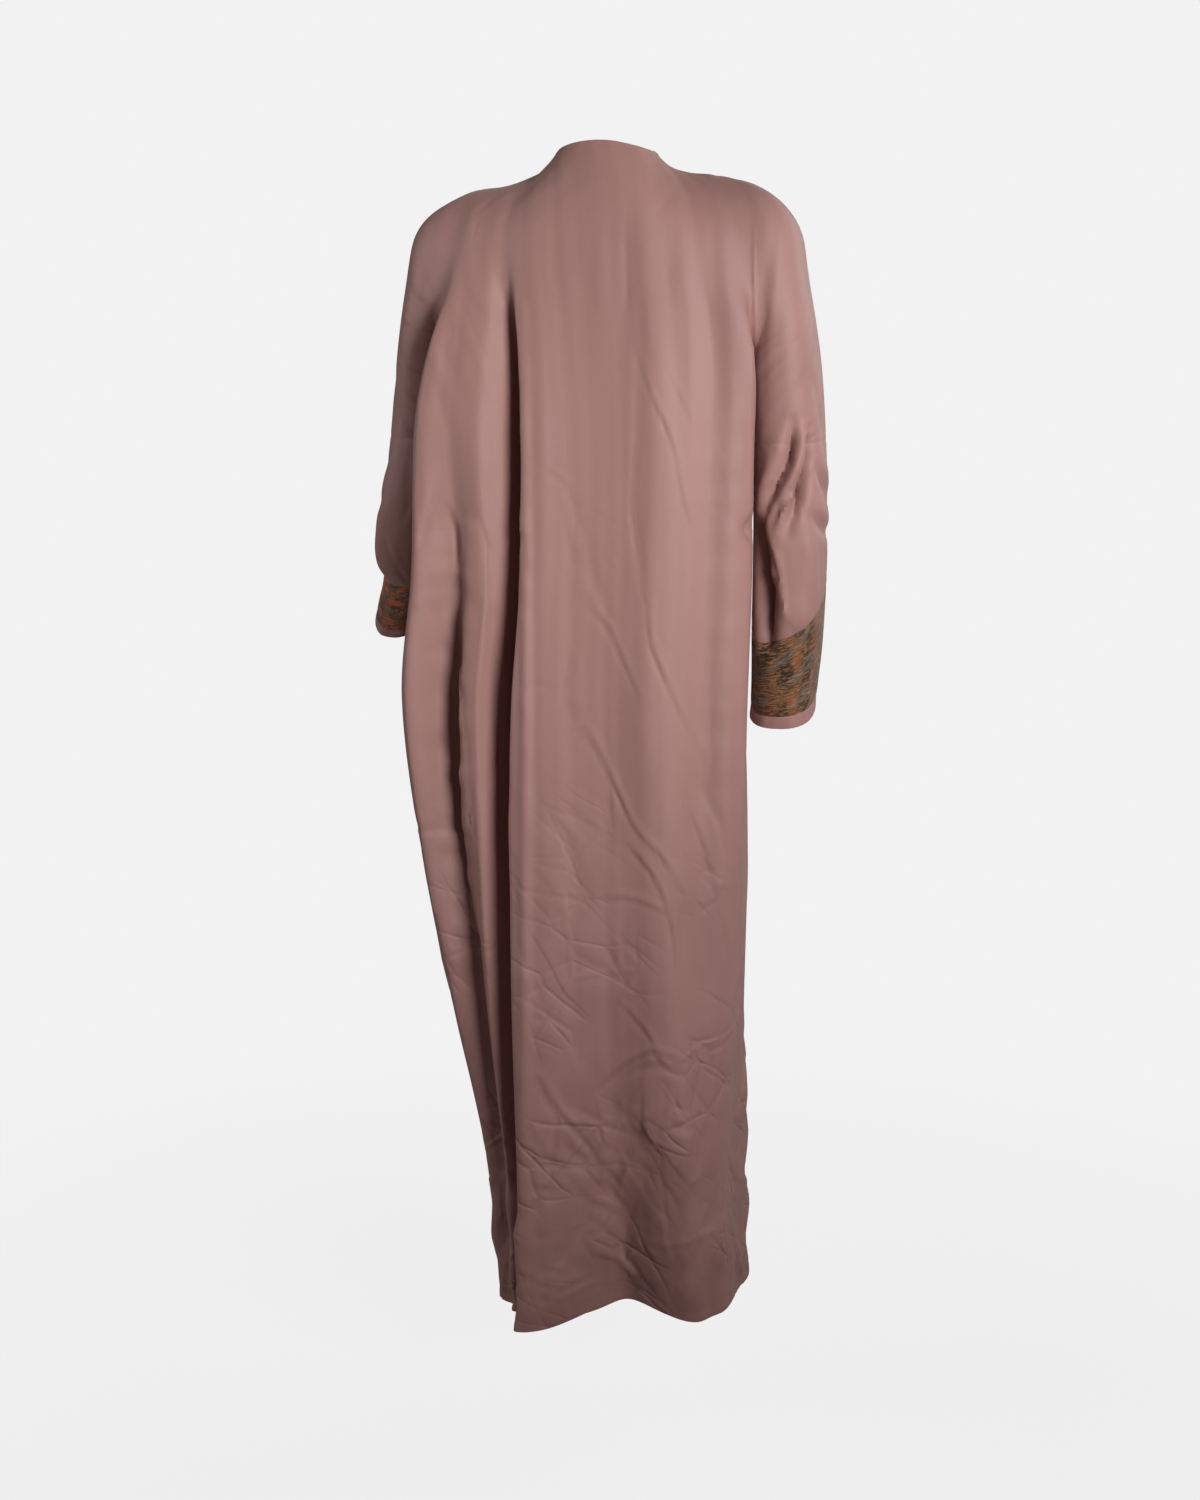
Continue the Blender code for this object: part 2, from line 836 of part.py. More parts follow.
def build():
    """The whole cloak, an object for each piece."""
    for found in list(bpy.data.objects):
        bpy.data.objects.remove(found)
    collection = bpy.data.collections.new(COLLECTION)
    bpy.context.scene.collection.children.link(collection)
    pieces = whole_cloak()
    normals = surface_normals(pieces)
    shared = shared_points(pieces)
    for name, faces in pieces.items():
        data = wall_mesh(name, faces, normals, shared)
        piece = bpy.data.objects.new(name, data)
        collection.objects.link(piece)
        if name.startswith("cuff_") and "band" not in name:
            data.materials.append(material(name + "_brocade", BROCADE_COLOUR, BROCADE_ROUGHNESS))
        else:
            data.materials.append(material(name + "_satin", SATIN_COLOUR, SATIN_ROUGHNESS))


build()
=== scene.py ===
# %% [markdown]
# # Abaya cloak of satin crepe
#
# This lesson dresses the CAD frame of a long cloak that hangs in its worn form. The frame has
# a closed wall for each cut piece. Here each of those walls is replaced by thin cloth with a
# finer form, creases, seams, hems, stitches and woven finishes.
#
# The frame: +Z is up, the front looks towards -Y, and +X is the wearer's left. Lengths are in
# metres, and tables that say so are in millimetres.

import math

import bpy
import numpy as np
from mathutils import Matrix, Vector, noise
from mathutils.bvhtree import BVHTree
from mathutils.kdtree import KDTree


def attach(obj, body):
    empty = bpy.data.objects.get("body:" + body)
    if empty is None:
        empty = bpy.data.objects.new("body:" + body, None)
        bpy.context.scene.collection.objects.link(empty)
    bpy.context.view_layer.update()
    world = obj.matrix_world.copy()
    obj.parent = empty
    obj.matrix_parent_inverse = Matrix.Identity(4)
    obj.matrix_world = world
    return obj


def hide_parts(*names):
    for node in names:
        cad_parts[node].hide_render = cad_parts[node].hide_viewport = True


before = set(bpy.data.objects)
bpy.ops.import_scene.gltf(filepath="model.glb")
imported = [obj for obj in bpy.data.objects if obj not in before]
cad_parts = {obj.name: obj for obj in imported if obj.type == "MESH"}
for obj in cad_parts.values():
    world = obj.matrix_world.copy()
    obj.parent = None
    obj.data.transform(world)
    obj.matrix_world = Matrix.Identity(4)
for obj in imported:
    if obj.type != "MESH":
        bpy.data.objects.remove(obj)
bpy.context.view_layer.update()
MM = 0.001
print("CAD nodes:", sorted(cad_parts))

# %% [markdown]
# ## The cut
#
# The cloak is a batwing: the back and the two fronts take in the shoulders and the upper arms,
# and the lower sleeves, the brocade cuffs and their plain bands are sewn on. One could drape
# flat panels with a cloth simulation, but each fold of the hanging cloak has its own place.
# So the whole cloak is laid out as one surface, section by section, and then cut at its seams.
# The tables below are the sizes of that surface, as on a pattern maker's chart.

# %% Heights and neck
YOKE_Z = -0.10
UNDERARM_Z = -0.30
HEM_Z = -1.36
NECK_HALF_WIDTH = 0.056
NECK_BACK_DEPTH = 0.055
NECK_SIDE_Z = 0.0285
NECK_BACK_Z = 0.040
NECK_LIFT = 0.62
NECK_LIFT_REACH = 0.5
TIP_SPREAD = 0.25
FRONT_EDGE_X = 0.012
NECKLINE_END_Z = -0.17
print("length from the neck point to the hem:", round(NECK_SIDE_Z - HEM_Z, 3))

# %% Rows and columns of the cloth
FINER = 6
YOKE_ROWS = 26
CHEST_ROWS = 44
SKIRT_ROWS = 262
ARM_COLUMNS = 9 * FINER
VALLEY_COLUMNS = 2 * FINER
RING_STEP = 0.0045
FOREARM_RING_STEP = {"left": 0.0028, "right": 0.0045}
print("rows from shoulder to hem:", YOKE_ROWS + CHEST_ROWS + SKIRT_ROWS)

# %% Shoulder seam
SHOULDER = (
    # x, height on the left shoulder, height on the right shoulder
    (0.056, 0.0270, 0.0285),
    (0.074, 0.0095, 0.0120),
    (0.095, -0.0010, 0.0055),
    (0.120, -0.0095, 0.0030),
    (0.150, -0.0140, -0.0025),
    (0.172, -0.0250, -0.0100),
    (0.195, -0.0400, -0.0250),
    (0.213, -0.0640, -0.0500),
)
print("shoulder stations:", len(SHOULDER))

# %% Sections of body and arms
BODY = (
    # z, left, right, back, front, corner
    (-0.10, 0.165, 0.165, 0.100, 0.085, 2.5),
    (-0.20, 0.168, 0.168, 0.112, 0.100, 2.6),
    (-0.30, 0.168, 0.166, 0.122, 0.112, 2.7),
    (-0.45, 0.172, 0.166, 0.130, 0.124, 2.7),
    (-0.60, 0.196, 0.164, 0.135, 0.132, 2.6),
    (-0.80, 0.188, 0.166, 0.138, 0.138, 2.5),
    (-1.00, 0.166, 0.162, 0.138, 0.142, 2.4),
    (-1.20, 0.133, 0.159, 0.136, 0.146, 2.4),
    (-1.36, 0.122, 0.164, 0.134, 0.148, 2.4),
)
ARM = {
    # z, centre x, centre y, half width, half depth, tilt and outward turn of the ring, slant
    "left": (
        (-0.10, 0.203, 0.000, 0.031, 0.060, 0.0, 0.0, 0.0),
        (-0.20, 0.210, -0.004, 0.040, 0.064, 0.0, 0.0, 0.0),
        (-0.30, 0.2175, -0.006, 0.0430, 0.064, 0.0, 0.0, 0.0),
        (-0.36, 0.226, -0.008, 0.0460, 0.066, 6.0, 4.0, 0.0),
        (-0.40, 0.232, -0.018, 0.0500, 0.067, 22.0, 14.0, 0.0),
        (-0.424, 0.239, -0.034, 0.0530, 0.065, 40.0, 22.0, 0.0),
        (-0.442, 0.244, -0.052, 0.0480, 0.059, 49.0, 26.0, 0.0),
        (-0.513, 0.283, -0.130, 0.0440, 0.053, 51.0, 26.0, 0.0),
        (-0.524, 0.289, -0.142, 0.0435, 0.052, 51.0, 26.0, 0.0),
    ),
    "right": (
        (-0.10, 0.203, 0.000, 0.031, 0.060, 0.0, 0.0, 0.00),
        (-0.20, 0.210, -0.004, 0.040, 0.064, 0.0, 0.0, 0.00),
        (-0.30, 0.2165, -0.006, 0.0415, 0.064, 0.0, 0.0, 0.00),
        (-0.38, 0.2185, -0.008, 0.0430, 0.066, 6.0, 0.0, 0.00),
        (-0.45, 0.2180, -0.012, 0.0430, 0.066, 20.0, 0.0, 0.15),
        (-0.497, 0.2170, -0.018, 0.0435, 0.064, 30.0, 0.0, 0.45),
        (-0.560, 0.2130, -0.034, 0.0415, 0.060, 24.0, 0.0, 0.22),
        (-0.610, 0.2085, -0.044, 0.0390, 0.057, 16.0, 0.0, 0.04),
        (-0.627, 0.2070, -0.047, 0.0385, 0.056, 14.0, 0.0, 0.00),
    ),
}
ARM_CORNER = 2.4
CUFF_SEAM_Z = {"left": -0.442, "right": -0.497}
BAND_SEAM_Z = {"left": -0.513, "right": -0.610}
CUFF_END_Z = {"left": -0.524, "right": -0.627}
BENT_TILT = 10
SIGN = {"left": 1, "right": -1}
print("body sections:", len(BODY), "arm sections:", len(ARM["left"]))

# %% Valley between body and arm
VALLEY = (
    # z, depth in y of its floor at the back, and in front
    (-0.10, 0.056, -0.050),
    (-0.16, 0.053, -0.044),
    (-0.21, 0.038, -0.030),
    (-0.26, 0.016, -0.012),
    (-0.30, 0.000, 0.000),
)
VALLEY_SAG = 0.004
BRIDGE_START = 0.6
BRIDGE_END_Z = -0.23
BODY_FOOT_LIMIT = 0.98
ARM_FOOT_LIMIT = 0.95
print("valley stations:", len(VALLEY))

# %% [markdown]
# ## Folds
#
# A fold of a hanging cloak runs down from where the cloth is held and opens towards the hem.
# Each row here is such a line. Its angle is measured round the body from the left side seam (0)
# over the back (90) to the right side seam (180), and its distance says how far the line stands
# out from the plain section. Between two lines the cloth swings over in an S-curve.

# %% Fold lines
FOLD_Z = (-0.10, -0.20, -0.30, -0.60, -1.00, -1.36)
FOLDS = (
    # name, angles, distances out, lift of the hem, columns to the next line
    ("left front edge", (-82, -84, -85, -86, -86, -86),
     (0, 0, 0, 0, 0, 0), 0.000, 4),
    ("left front fold", (-74, -73, -72, -70, -68, -66),
     (0, 0.002, 0.004, 0.010, 0.014, 0.018), 0.000, 4),
    ("left front hollow", (-60, -58, -56, -54, -52, -50),
     (0, -0.003, -0.006, -0.016, -0.022, -0.026), 0.006, 4),
    ("left front side fold", (-46, -42, -40, -36, -34, -32),
     (0, 0.002, 0.004, 0.010, 0.014, 0.018), 0.000, 4),
    ("left side", (0, 0, 0, 0, 0, 0),
     (0, 0, 0, 0, 0, 0), 0.000, 4),
    ("left wing", (34, 34, 33, 34, 30, 26),
     (0.024, 0.060, 0.072, 0.064, 0.022, 0.004), 0.000, 3),
    ("left wing hollow", (42, 44, 45, 43, 40, 38),
     (0.014, 0.036, 0.041, 0.004, -0.012, -0.004), 0.000, 3),
    ("left blade fold", (50, 57, 59, 57, 51, 46),
     (0.009, 0.014, 0.020, 0.012, 0.006, 0.004), 0.000, 2),
    ("deep hollow left", (54, 62, 65, 64, 57, 51),
     (0.004, -0.018, -0.030, -0.038, -0.032, -0.010), 0.000, 2),
    ("deep hollow right", (58, 65, 69, 67, 61, 55),
     (0.003, -0.022, -0.034, -0.042, -0.036, -0.012), 0.000, 2),
    ("back left fold", (62, 69, 73, 72, 67, 64),
     (0.002, 0.006, 0.010, 0.012, 0.018, 0.034), -0.006, 4),
    ("back hollow", (94, 95, 96, 96, 101, 107),
     (-0.003, -0.004, -0.004, -0.004, -0.016, -0.054), 0.016, 5),
    ("back right fold", (120, 118, 117, 117, 127, 142),
     (0.003, 0.005, 0.006, 0.006, 0.006, 0.002), 0.000, 3),
    ("back right hollow", (134, 138, 138, 136, 139, 151),
     (0.004, 0.005, 0.005, 0.002, 0.000, 0.000), 0.000, 3),
    ("right edge fold", (150, 157, 159, 159, 156, 160),
     (0.020, 0.034, 0.031, 0.028, 0.008, 0.002), 0.000, 4),
    ("right side", (180, 180, 180, 180, 180, 180),
     (0, 0, 0, 0, 0, 0), 0.000, 4),
    ("right front side fold", (226, 222, 220, 216, 214, 212),
     (0, 0.002, 0.004, 0.006, 0.014, 0.018), 0.000, 4),
    ("right front hollow", (240, 239, 238, 234, 232, 228),
     (0, -0.004, -0.008, -0.016, -0.020, -0.024), 0.008, 4),
    ("right front fold", (254, 253, 252, 250, 248, 246),
     (0, 0.002, 0.004, 0.008, 0.014, 0.020), 0.000, 4),
    ("right front edge", (262, 264, 265, 266, 266, 266),
     (0, 0, 0, 0, 0, 0), 0.000, 0),
)
LIFT_START_Z = -0.95
NECK_LEFT_FOLD = "back left fold"
NECK_RIGHT_FOLD = "back right fold"
print("fold lines:", len(FOLDS))

# %% [markdown]
# ## Curves through the charts
#
# A chart gives a few heights only. Between them every size follows a smooth curve through the
# stations, as a tailor's French curve would draw it. Straight steps would show as kinks in satin.

# %% Curves
def smooth(share):
    """An S-curve from 0 to 1."""
    share = min(max(share, 0.0), 1.0)
    return share * share * (3.0 - 2.0 * share)


def mix(start, end, share):
    """Value at a share of the way from start to end."""
    return start + (end - start) * share


def curve(stations, values, where):
    """Value at a place on the smooth curve through the stations, which run downwards."""
    last = len(stations) - 1
    if where >= stations[0]:
        return values[0]
    if where <= stations[last]:
        return values[last]
    span = 0
    while where < stations[span + 1]:
        span += 1
    slopes = []
    for index in (span, span + 1):
        before = max(index - 1, 0)
        after = min(index + 1, last)
        slopes.append((values[after] - values[before]) / (stations[after] - stations[before]))
    run = stations[span + 1] - stations[span]
    share = (where - stations[span]) / run
    square = share * share
    cube = square * share
    return (
        (2 * cube - 3 * square + 1) * values[span]
        + (cube - 2 * square + share) * run * slopes[0]
        + (3 * square - 2 * cube) * values[span + 1]
        + (cube - square) * run * slopes[1]
    )


def chart_row(table, z):
    """All columns of a chart at a height."""
    heights = [row[0] for row in table]
    columns = range(1, len(table[0]))
    return [z] + [curve(heights, [row[column] for row in table], z) for column in columns]


print("half width of the body at the hem:", [round(v, 3) for v in chart_row(BODY, HEM_Z)[1:3]])


# %% A point of the body's section
def rounded(share, corner):
    """Share of a half width or depth on a section whose corners are fuller than an ellipse's."""
    return math.copysign(abs(share) ** (2 / corner), share)


def section_point(section, angle, out):
    """A point of a body section, moved out from it."""
    z, left, right, back, front, corner = section
    across = math.cos(math.radians(angle))
    along = math.sin(math.radians(angle))
    half_width = left if across > 0 else right
    half_depth = back if along > 0 else front
    x = half_width * rounded(across, corner)
    y = half_depth * rounded(along, corner)
    away = Vector((x / half_width**2, y / half_depth**2, 0)).normalized()
    return Vector((x, y, z)) + away * out


def angle_at_depth(section, y, side):
    """Angle on the section's side wall where it reaches a depth in y."""
    half_depth = section[3] if y > 0 else section[4]
    share = min(abs(y) / half_depth, BODY_FOOT_LIMIT)
    turn = math.copysign(math.degrees(math.asin(share ** (section[5] / 2))), y)
    return turn if side == "left" else 180 - turn


def edge_angle(section, side):
    """Angle of the front edge, which stands a set distance from the middle."""
    share = smooth((section[0] - NECKLINE_END_Z) / (NECK_SIDE_Z - NECKLINE_END_Z))
    x = mix(FRONT_EDGE_X, NECK_HALF_WIDTH, share)
    half_width = section[1] if side == "left" else section[2]
    turn = math.degrees(math.acos((x / half_width) ** (section[5] / 2)))
    return -turn if side == "left" else 180 + turn


print("front edge angle at the hem:", round(edge_angle(chart_row(BODY, HEM_Z), "left"), 1))


# %% A run of cloth over the folds
def fold_lines(section):
    """Name, angle, distance out, lift and columns of each fold line at a height."""
    z = section[0]
    lifted = smooth((LIFT_START_Z - z) / (LIFT_START_Z - HEM_Z))
    lines = []
    for name, angles, outs, lift, columns in FOLDS:
        angle = curve(FOLD_Z, angles, z)
        if name == "left front edge":
            angle = edge_angle(section, "left")
        if name == "right front edge":
            angle = edge_angle(section, "right")
        lines.append((name, angle, curve(FOLD_Z, outs, z), lift * lifted, columns * FINER))
    return lines


def slopes_of(stations, values):
    """Slopes of a curve through the stations that is level at its highs, lows and ends."""
    pitches = [
        (after - before) / (far - near)
        for before, after, near, far in zip(values, values[1:], stations, stations[1:])
    ]
    slopes = [0.0]
    for before, after in zip(pitches, pitches[1:]):
        level = before * after <= 0
        slopes.append(0.0 if level else 2 * before * after / (before + after))
    return slopes + [0.0]


def eased(start, end, start_pitch, end_pitch, share):
    """Value at a share of the way, leaving and arriving at the given pitches."""
    square = share * share
    cube = square * share
    return (
        (2 * cube - 3 * square + 1) * start
        + (cube - 2 * square + share) * start_pitch
        + (3 * square - 2 * cube) * end
        + (cube - square) * end_pitch
    )


def run_between(z, first, last, first_angle=None, last_angle=None):
    """Points of the body's section from one fold line to another."""
    section = chart_row(BODY, z)
    lines = fold_lines(section)
    names = [line[0] for line in lines]
    lines = lines[names.index(first) : names.index(last) + 1]
    angles = [line[1] for line in lines]
    if first_angle is not None:
        angles[0] = first_angle
    if last_angle is not None:
        angles[-1] = last_angle
    outs = [line[2] for line in lines]
    lifts = [line[3] for line in lines]
    out_slopes = slopes_of(angles, outs)
    lift_slopes = slopes_of(angles, lifts)
    points = []
    for index in range(len(lines) - 1):
        span = angles[index + 1] - angles[index]
        columns = lines[index][4]
        final = index == len(lines) - 2
        for step in range(columns + 1 if final else columns):
            share = step / columns
            pitches = [slope * span for slope in out_slopes[index : index + 2]]
            out = eased(outs[index], outs[index + 1], *pitches, share)
            pitches = [slope * span for slope in lift_slopes[index : index + 2]]
            lift = eased(lifts[index], lifts[index + 1], *pitches, share)
            point = section_point(section, angles[index] + span * share, out)
            point.z += lift
            points.append(point)
    return points


def column_of(first, name):
    """Column at which a fold line lies, counted from the first line."""
    names = [fold[0] for fold in FOLDS]
    start = names.index(first)
    return FINER * sum(fold[-1] for fold in FOLDS[start : names.index(name)])


print("columns from side to side:", len(run_between(HEM_Z, "left side", "right side")) - 1)


# %% Arms and the valleys beside them
def arm_ring_point(row, side, turn):
    """A point of an arm's ring: turn 0 is its outer side, 90 its back and 180 its inner side."""
    z, x, y, half_width, half_depth, tilt, swing, slant = row
    across = half_width * rounded(math.cos(math.radians(turn)), ARM_CORNER)
    along = half_depth * rounded(math.sin(math.radians(turn)), ARM_CORNER)
    level = along * math.cos(math.radians(tilt))
    turned_x = across * math.cos(math.radians(swing)) + level * math.sin(math.radians(swing))
    turned_y = level * math.cos(math.radians(swing)) - across * math.sin(math.radians(swing))
    drop = along * math.sin(math.radians(tilt))
    return Vector((SIGN[side] * (x + turned_x), y + turned_y, z - drop + across * slant))


def inner_turn(row, y):
    """Turn at which the inner side of an arm's ring reaches a depth in y."""
    share = (y - row[2]) / row[4]
    share = max(-ARM_FOOT_LIMIT, min(ARM_FOOT_LIMIT, share))
    return 180 - math.degrees(math.asin(rounded(share, 4 / ARM_CORNER)))


def level_side(side, z, face):
    """Arm and valley on one side from the outer line inwards, and the angle of the body's foot."""
    floor_y = chart_row(VALLEY, z)[1 if face == "back" else 2]
    row = chart_row(ARM[side], z)
    last = inner_turn(row, floor_y)
    if face == "front":
        last = last - 360
    steps = range(ARM_COLUMNS + 1)
    arm = [arm_ring_point(row, side, last * step / ARM_COLUMNS) for step in steps]
    section = chart_row(BODY, z)
    foot_angle = angle_at_depth(section, floor_y, side)
    foot = section_point(section, foot_angle, 0.0)
    sag = math.copysign(VALLEY_SAG, floor_y) * min(1.0, abs(floor_y) / (2 * VALLEY_SAG))
    start = arm[-1]
    for step in range(1, VALLEY_COLUMNS):
        share = step / VALLEY_COLUMNS
        middle = start.lerp(foot, share)
        middle.y -= sag * 4 * share * (1 - share)
        arm.append(middle)
    return arm, foot_angle


def ring(side, z):
    """One ring of a sleeve, with columns where the sleeve meets the body pieces."""
    foot = inner_turn(chart_row(ARM[side], UNDERARM_Z), 0.0)
    turns = [foot * step / ARM_COLUMNS for step in range(ARM_COLUMNS + 1)]
    turns += [(foot - 360) * step / ARM_COLUMNS for step in range(ARM_COLUMNS - 1, -1, -1)]
    row = chart_row(ARM[side], z)
    points = [arm_ring_point(row, side, turn) for turn in turns]
    points[-1] = points[0]
    return points


print("points in a sleeve ring:", len(ring("left", CUFF_SEAM_Z["left"])))

# %% [markdown]
# ## Shoulders and neck
#
# Above the yoke line the cloth bends over the shoulder to the seam on its ridge. A flat
# triangle there would look stiff, so each column rises on a quarter of a round and turns inwards
# at its top. At the neck it turns less, because the neckline stands a little open.

# %% Top edges
def shoulder_line(level, neck_column):
    """Top edge from the shoulder's tip to the neck point, spread as the row below it is."""
    tip = SHOULDER[-1][0]
    side = "left" if level[0].x > 0 else "right"
    stations = [-row[0] for row in SHOULDER]
    heights = [row[1 if side == "left" else 2] for row in SHOULDER]
    run = [0.0]
    for before, after in zip(level[:neck_column], level[1:]):
        run.append(run[-1] + (after - before).length)
    line = []
    for distance in run:
        share = distance / run[-1]
        share = share * share * (1 + TIP_SPREAD) / (share + TIP_SPREAD)
        x = mix(tip, NECK_HALF_WIDTH, share)
        line.append(Vector((SIGN[side] * x, 0.0, curve(stations, heights, -x))))
    return line


def dome(level, top, lifts):
    """Rows from a top edge down to the section under it, rounded over the shoulder."""
    rows = []
    for step in range(YOKE_ROWS):
        rise = 1 - step / YOKE_ROWS
        row = []
        for low, high, lift in zip(level, top, lifts):
            end = lift * math.pi / 2
            up = math.sin(rise * end) / math.sin(end)
            inward = (1 - math.cos(rise * end)) / (1 - math.cos(end))
            across = low.lerp(high, inward)
            row.append(Vector((across.x, across.y, mix(low.z, high.z, up))))
        rows.append(row)
    return rows


def neck_columns():
    """First and last column of the neckline in the back's upper grid."""
    offset = ARM_COLUMNS + VALLEY_COLUMNS
    return [offset + column_of("left side", name) for name in (NECK_LEFT_FOLD, NECK_RIGHT_FOLD)]


def back_top(level):
    """Shoulder seams with the neckline between them, and how far each column lifts."""
    neck_left, neck_right = neck_columns()
    left = shoulder_line(level, neck_left)
    right = shoulder_line(level[::-1], len(level) - 1 - neck_right)
    columns = neck_right - neck_left
    arc = []
    for step in range(1, columns):
        turn = math.pi * step / columns
        x = NECK_HALF_WIDTH * math.cos(turn)
        y = NECK_BACK_DEPTH * math.sin(turn)
        arc.append(Vector((x, y, mix(NECK_SIDE_Z, NECK_BACK_Z, math.sin(turn) ** 2))))
    lifts = []
    for index in range(len(level)):
        far = max(neck_left - index, index - neck_right, 0) / neck_left
        lifts.append(mix(NECK_LIFT, 1.0, smooth(far / NECK_LIFT_REACH)))
    return left + arc + right[::-1], lifts


print("neck width:", 2 * NECK_HALF_WIDTH)

# %% [markdown]
# ## Laying out the pieces
#
# Each piece is one or two grids of rows. The back is shaped like a T: an upper grid from sleeve
# to sleeve, and a skirt under it. All grids use the same formulas, so neighbours share the points
# of their seam exactly and can be bent together later.

# %% Grids of each piece
# how the upper grids are evened out: passes, and rows from the top, below the yoke and round it
SETTLE_PASSES = 60
SETTLE_RATE = 0.5
SETTLE_TOP = 8
SETTLE_BELOW = 10
SETTLE_SPREAD = 7


def heights(top, bottom, rows):
    """Evenly spread heights."""
    return [mix(top, bottom, step / rows) for step in range(rows + 1)]


def ring_heights(side, top, bottom):
    """Heights of the rings between two seams, closer together on a bent forearm."""
    table = ARM[side]
    stations = [top] + [row[0] for row in table if bottom < row[0] < top] + [bottom]
    found = []
    for upper, lower in zip(stations, stations[1:]):
        bent = chart_row(table, lower)[5] > BENT_TILT
        steps = max(1, round((upper - lower) / (FOREARM_RING_STEP[side] if bent else RING_STEP)))
        found += [mix(upper, lower, step / steps) for step in range(steps)]
    return found + [bottom]


def upper_front_row(z, side):
    """One front at a height above the underarm, from the arm to its open edge."""
    arm, foot_angle = level_side(side, z, "front")
    if side == "left":
        return arm + run_between(z, "left front edge", "left side", None, foot_angle)[::-1]
    return arm + run_between(z, "right side", "right front edge", foot_angle, None)


def bridged(row, start, stop, share):
    """A row whose cloth is lifted out of a valley, from one column to another, by a share."""
    first = row[start]
    last = row[stop]
    chord = (last - first).length
    leaving = (first - row[start - 1]).normalized() * chord
    arriving = (row[stop + 1] - last).normalized() * chord
    lifted = list(row)
    for column in range(start + 1, stop):
        way = (column - start) / (stop - start)
        over = Vector([eased(*values, way) for values in zip(first, last, leaving, arriving)])
        lifted[column] = row[column].lerp(over, share)
    return lifted


def upper_back_row(z):
    """The whole back at a height above the underarm, from the left arm to the right one."""
    left, left_angle = level_side("left", z, "back")
    right, right_angle = level_side("right", z, "back")
    row = left + run_between(z, "left side", "right side", left_angle, right_angle) + right[::-1]
    share = 1 - smooth((YOKE_Z - z) / (YOKE_Z - BRIDGE_END_Z))
    start = round(ARM_COLUMNS * BRIDGE_START)
    inner = ARM_COLUMNS + VALLEY_COLUMNS
    row = bridged(row, start, inner + column_of("left side", "left wing"), share)
    outer = len(row) - 1 - inner - column_of("right edge fold", "right side")
    return bridged(row, outer, len(row) - 1 - start, share)


def settled(grid):
    """An upper grid whose cloth bends softly over the yoke line and across the shoulders."""
    spots = np.array([[point[:] for point in row] for row in grid])
    rows = np.arange(len(grid))[:, None, None]
    below_top = np.minimum(rows / SETTLE_TOP, 1.0)
    across = below_top * np.clip((YOKE_ROWS + SETTLE_BELOW - rows) / SETTLE_BELOW, 0, 1)
    down = below_top * np.exp(-(((rows - YOKE_ROWS) / SETTLE_SPREAD) ** 2))
    for _ in range(SETTLE_PASSES):
        middle = (spots[:, :-2] + spots[:, 2:]) / 2
        spots[:, 1:-1] += across * SETTLE_RATE * (middle - spots[:, 1:-1])
        middle = (spots[:-2] + spots[2:]) / 2
        spots[1:-1] += down[1:-1] * SETTLE_RATE * (middle - spots[1:-1])
    return [[Vector(spot) for spot in row] for row in spots]


def back_grids():
    """Upper grid and skirt of the back."""
    level = upper_back_row(YOKE_Z)
    top, lifts = back_top(level)
    chest = [upper_back_row(z) for z in heights(YOKE_Z, UNDERARM_Z, CHEST_ROWS)]
    skirt_heights = heights(UNDERARM_Z, HEM_Z, SKIRT_ROWS)
    skirt = [run_between(z, "left side", "right side") for z in skirt_heights]
    return [settled(dome(level, top, lifts) + chest), skirt]


def front_grids(side):
    """Upper grid and skirt of one front, both with columns from its arm towards its open edge."""
    level = upper_front_row(YOKE_Z, side)
    top = shoulder_line(level, len(level) - 1)
    chest = [upper_front_row(z, side) for z in heights(YOKE_Z, UNDERARM_Z, CHEST_ROWS)]
    skirt = []
    for z in heights(UNDERARM_Z, HEM_Z, SKIRT_ROWS):
        if side == "left":
            skirt.append(run_between(z, "left front edge", "left side")[::-1])
        else:
            skirt.append(run_between(z, "right side", "right front edge"))
    return [settled(dome(level, top, [1.0] * len(level)) + chest), skirt]


def tube_grid(side, top, bottom):
    """Rings of a sleeve's part between two seams."""
    return [[ring(side, z) for z in ring_heights(side, top, bottom)]]


GRIDS = {"back": back_grids()}
for arm_side in ("left", "right"):
    GRIDS["front_" + arm_side] = front_grids(arm_side)
for arm_side in ("left", "right"):
    cuff_z = CUFF_SEAM_Z[arm_side]
    band_z = BAND_SEAM_Z[arm_side]
    GRIDS["sleeve_" + arm_side] = tube_grid(arm_side, UNDERARM_Z, cuff_z)
    GRIDS["cuff_" + arm_side] = tube_grid(arm_side, cuff_z, band_z)
    GRIDS["cuff_band_" + arm_side] = tube_grid(arm_side, band_z, CUFF_END_Z[arm_side])
for piece_name, grids in GRIDS.items():
    print(piece_name, [(len(grid), len(grid[0])) for grid in grids])

# %% [markdown]
# ## One cloth
#
# The points of all pieces go into one list, where points that meet are one. Creases and seams
# are pressed into this whole cloth, so they run on across a seam, and neighbours stay together.

# %% Points and faces of the whole cloth
FLIPPED = ("front_left", "sleeve_right", "cuff_right", "cuff_band_right")
KEYS_PER_METRE = 100000
places = []
index_of = {}
owners = []
NUMBERED = {}
for piece_name, grids in GRIDS.items():
    numbered = []
    for grid in grids:
        rows = []
        for row in grid:
            numbers = []
            for point in row:
                key = tuple(round(value * KEYS_PER_METRE) for value in point)
                if key not in index_of:
                    index_of[key] = len(places)
                    places.append(point[:])
                    owners.append(set())
                owners[index_of[key]].add(piece_name)
                numbers.append(index_of[key])
            rows.append(numbers)
        numbered.append(np.array(rows))
    NUMBERED[piece_name] = numbered
cloth = np.array(places)
print("points in the whole cloth:", len(cloth))


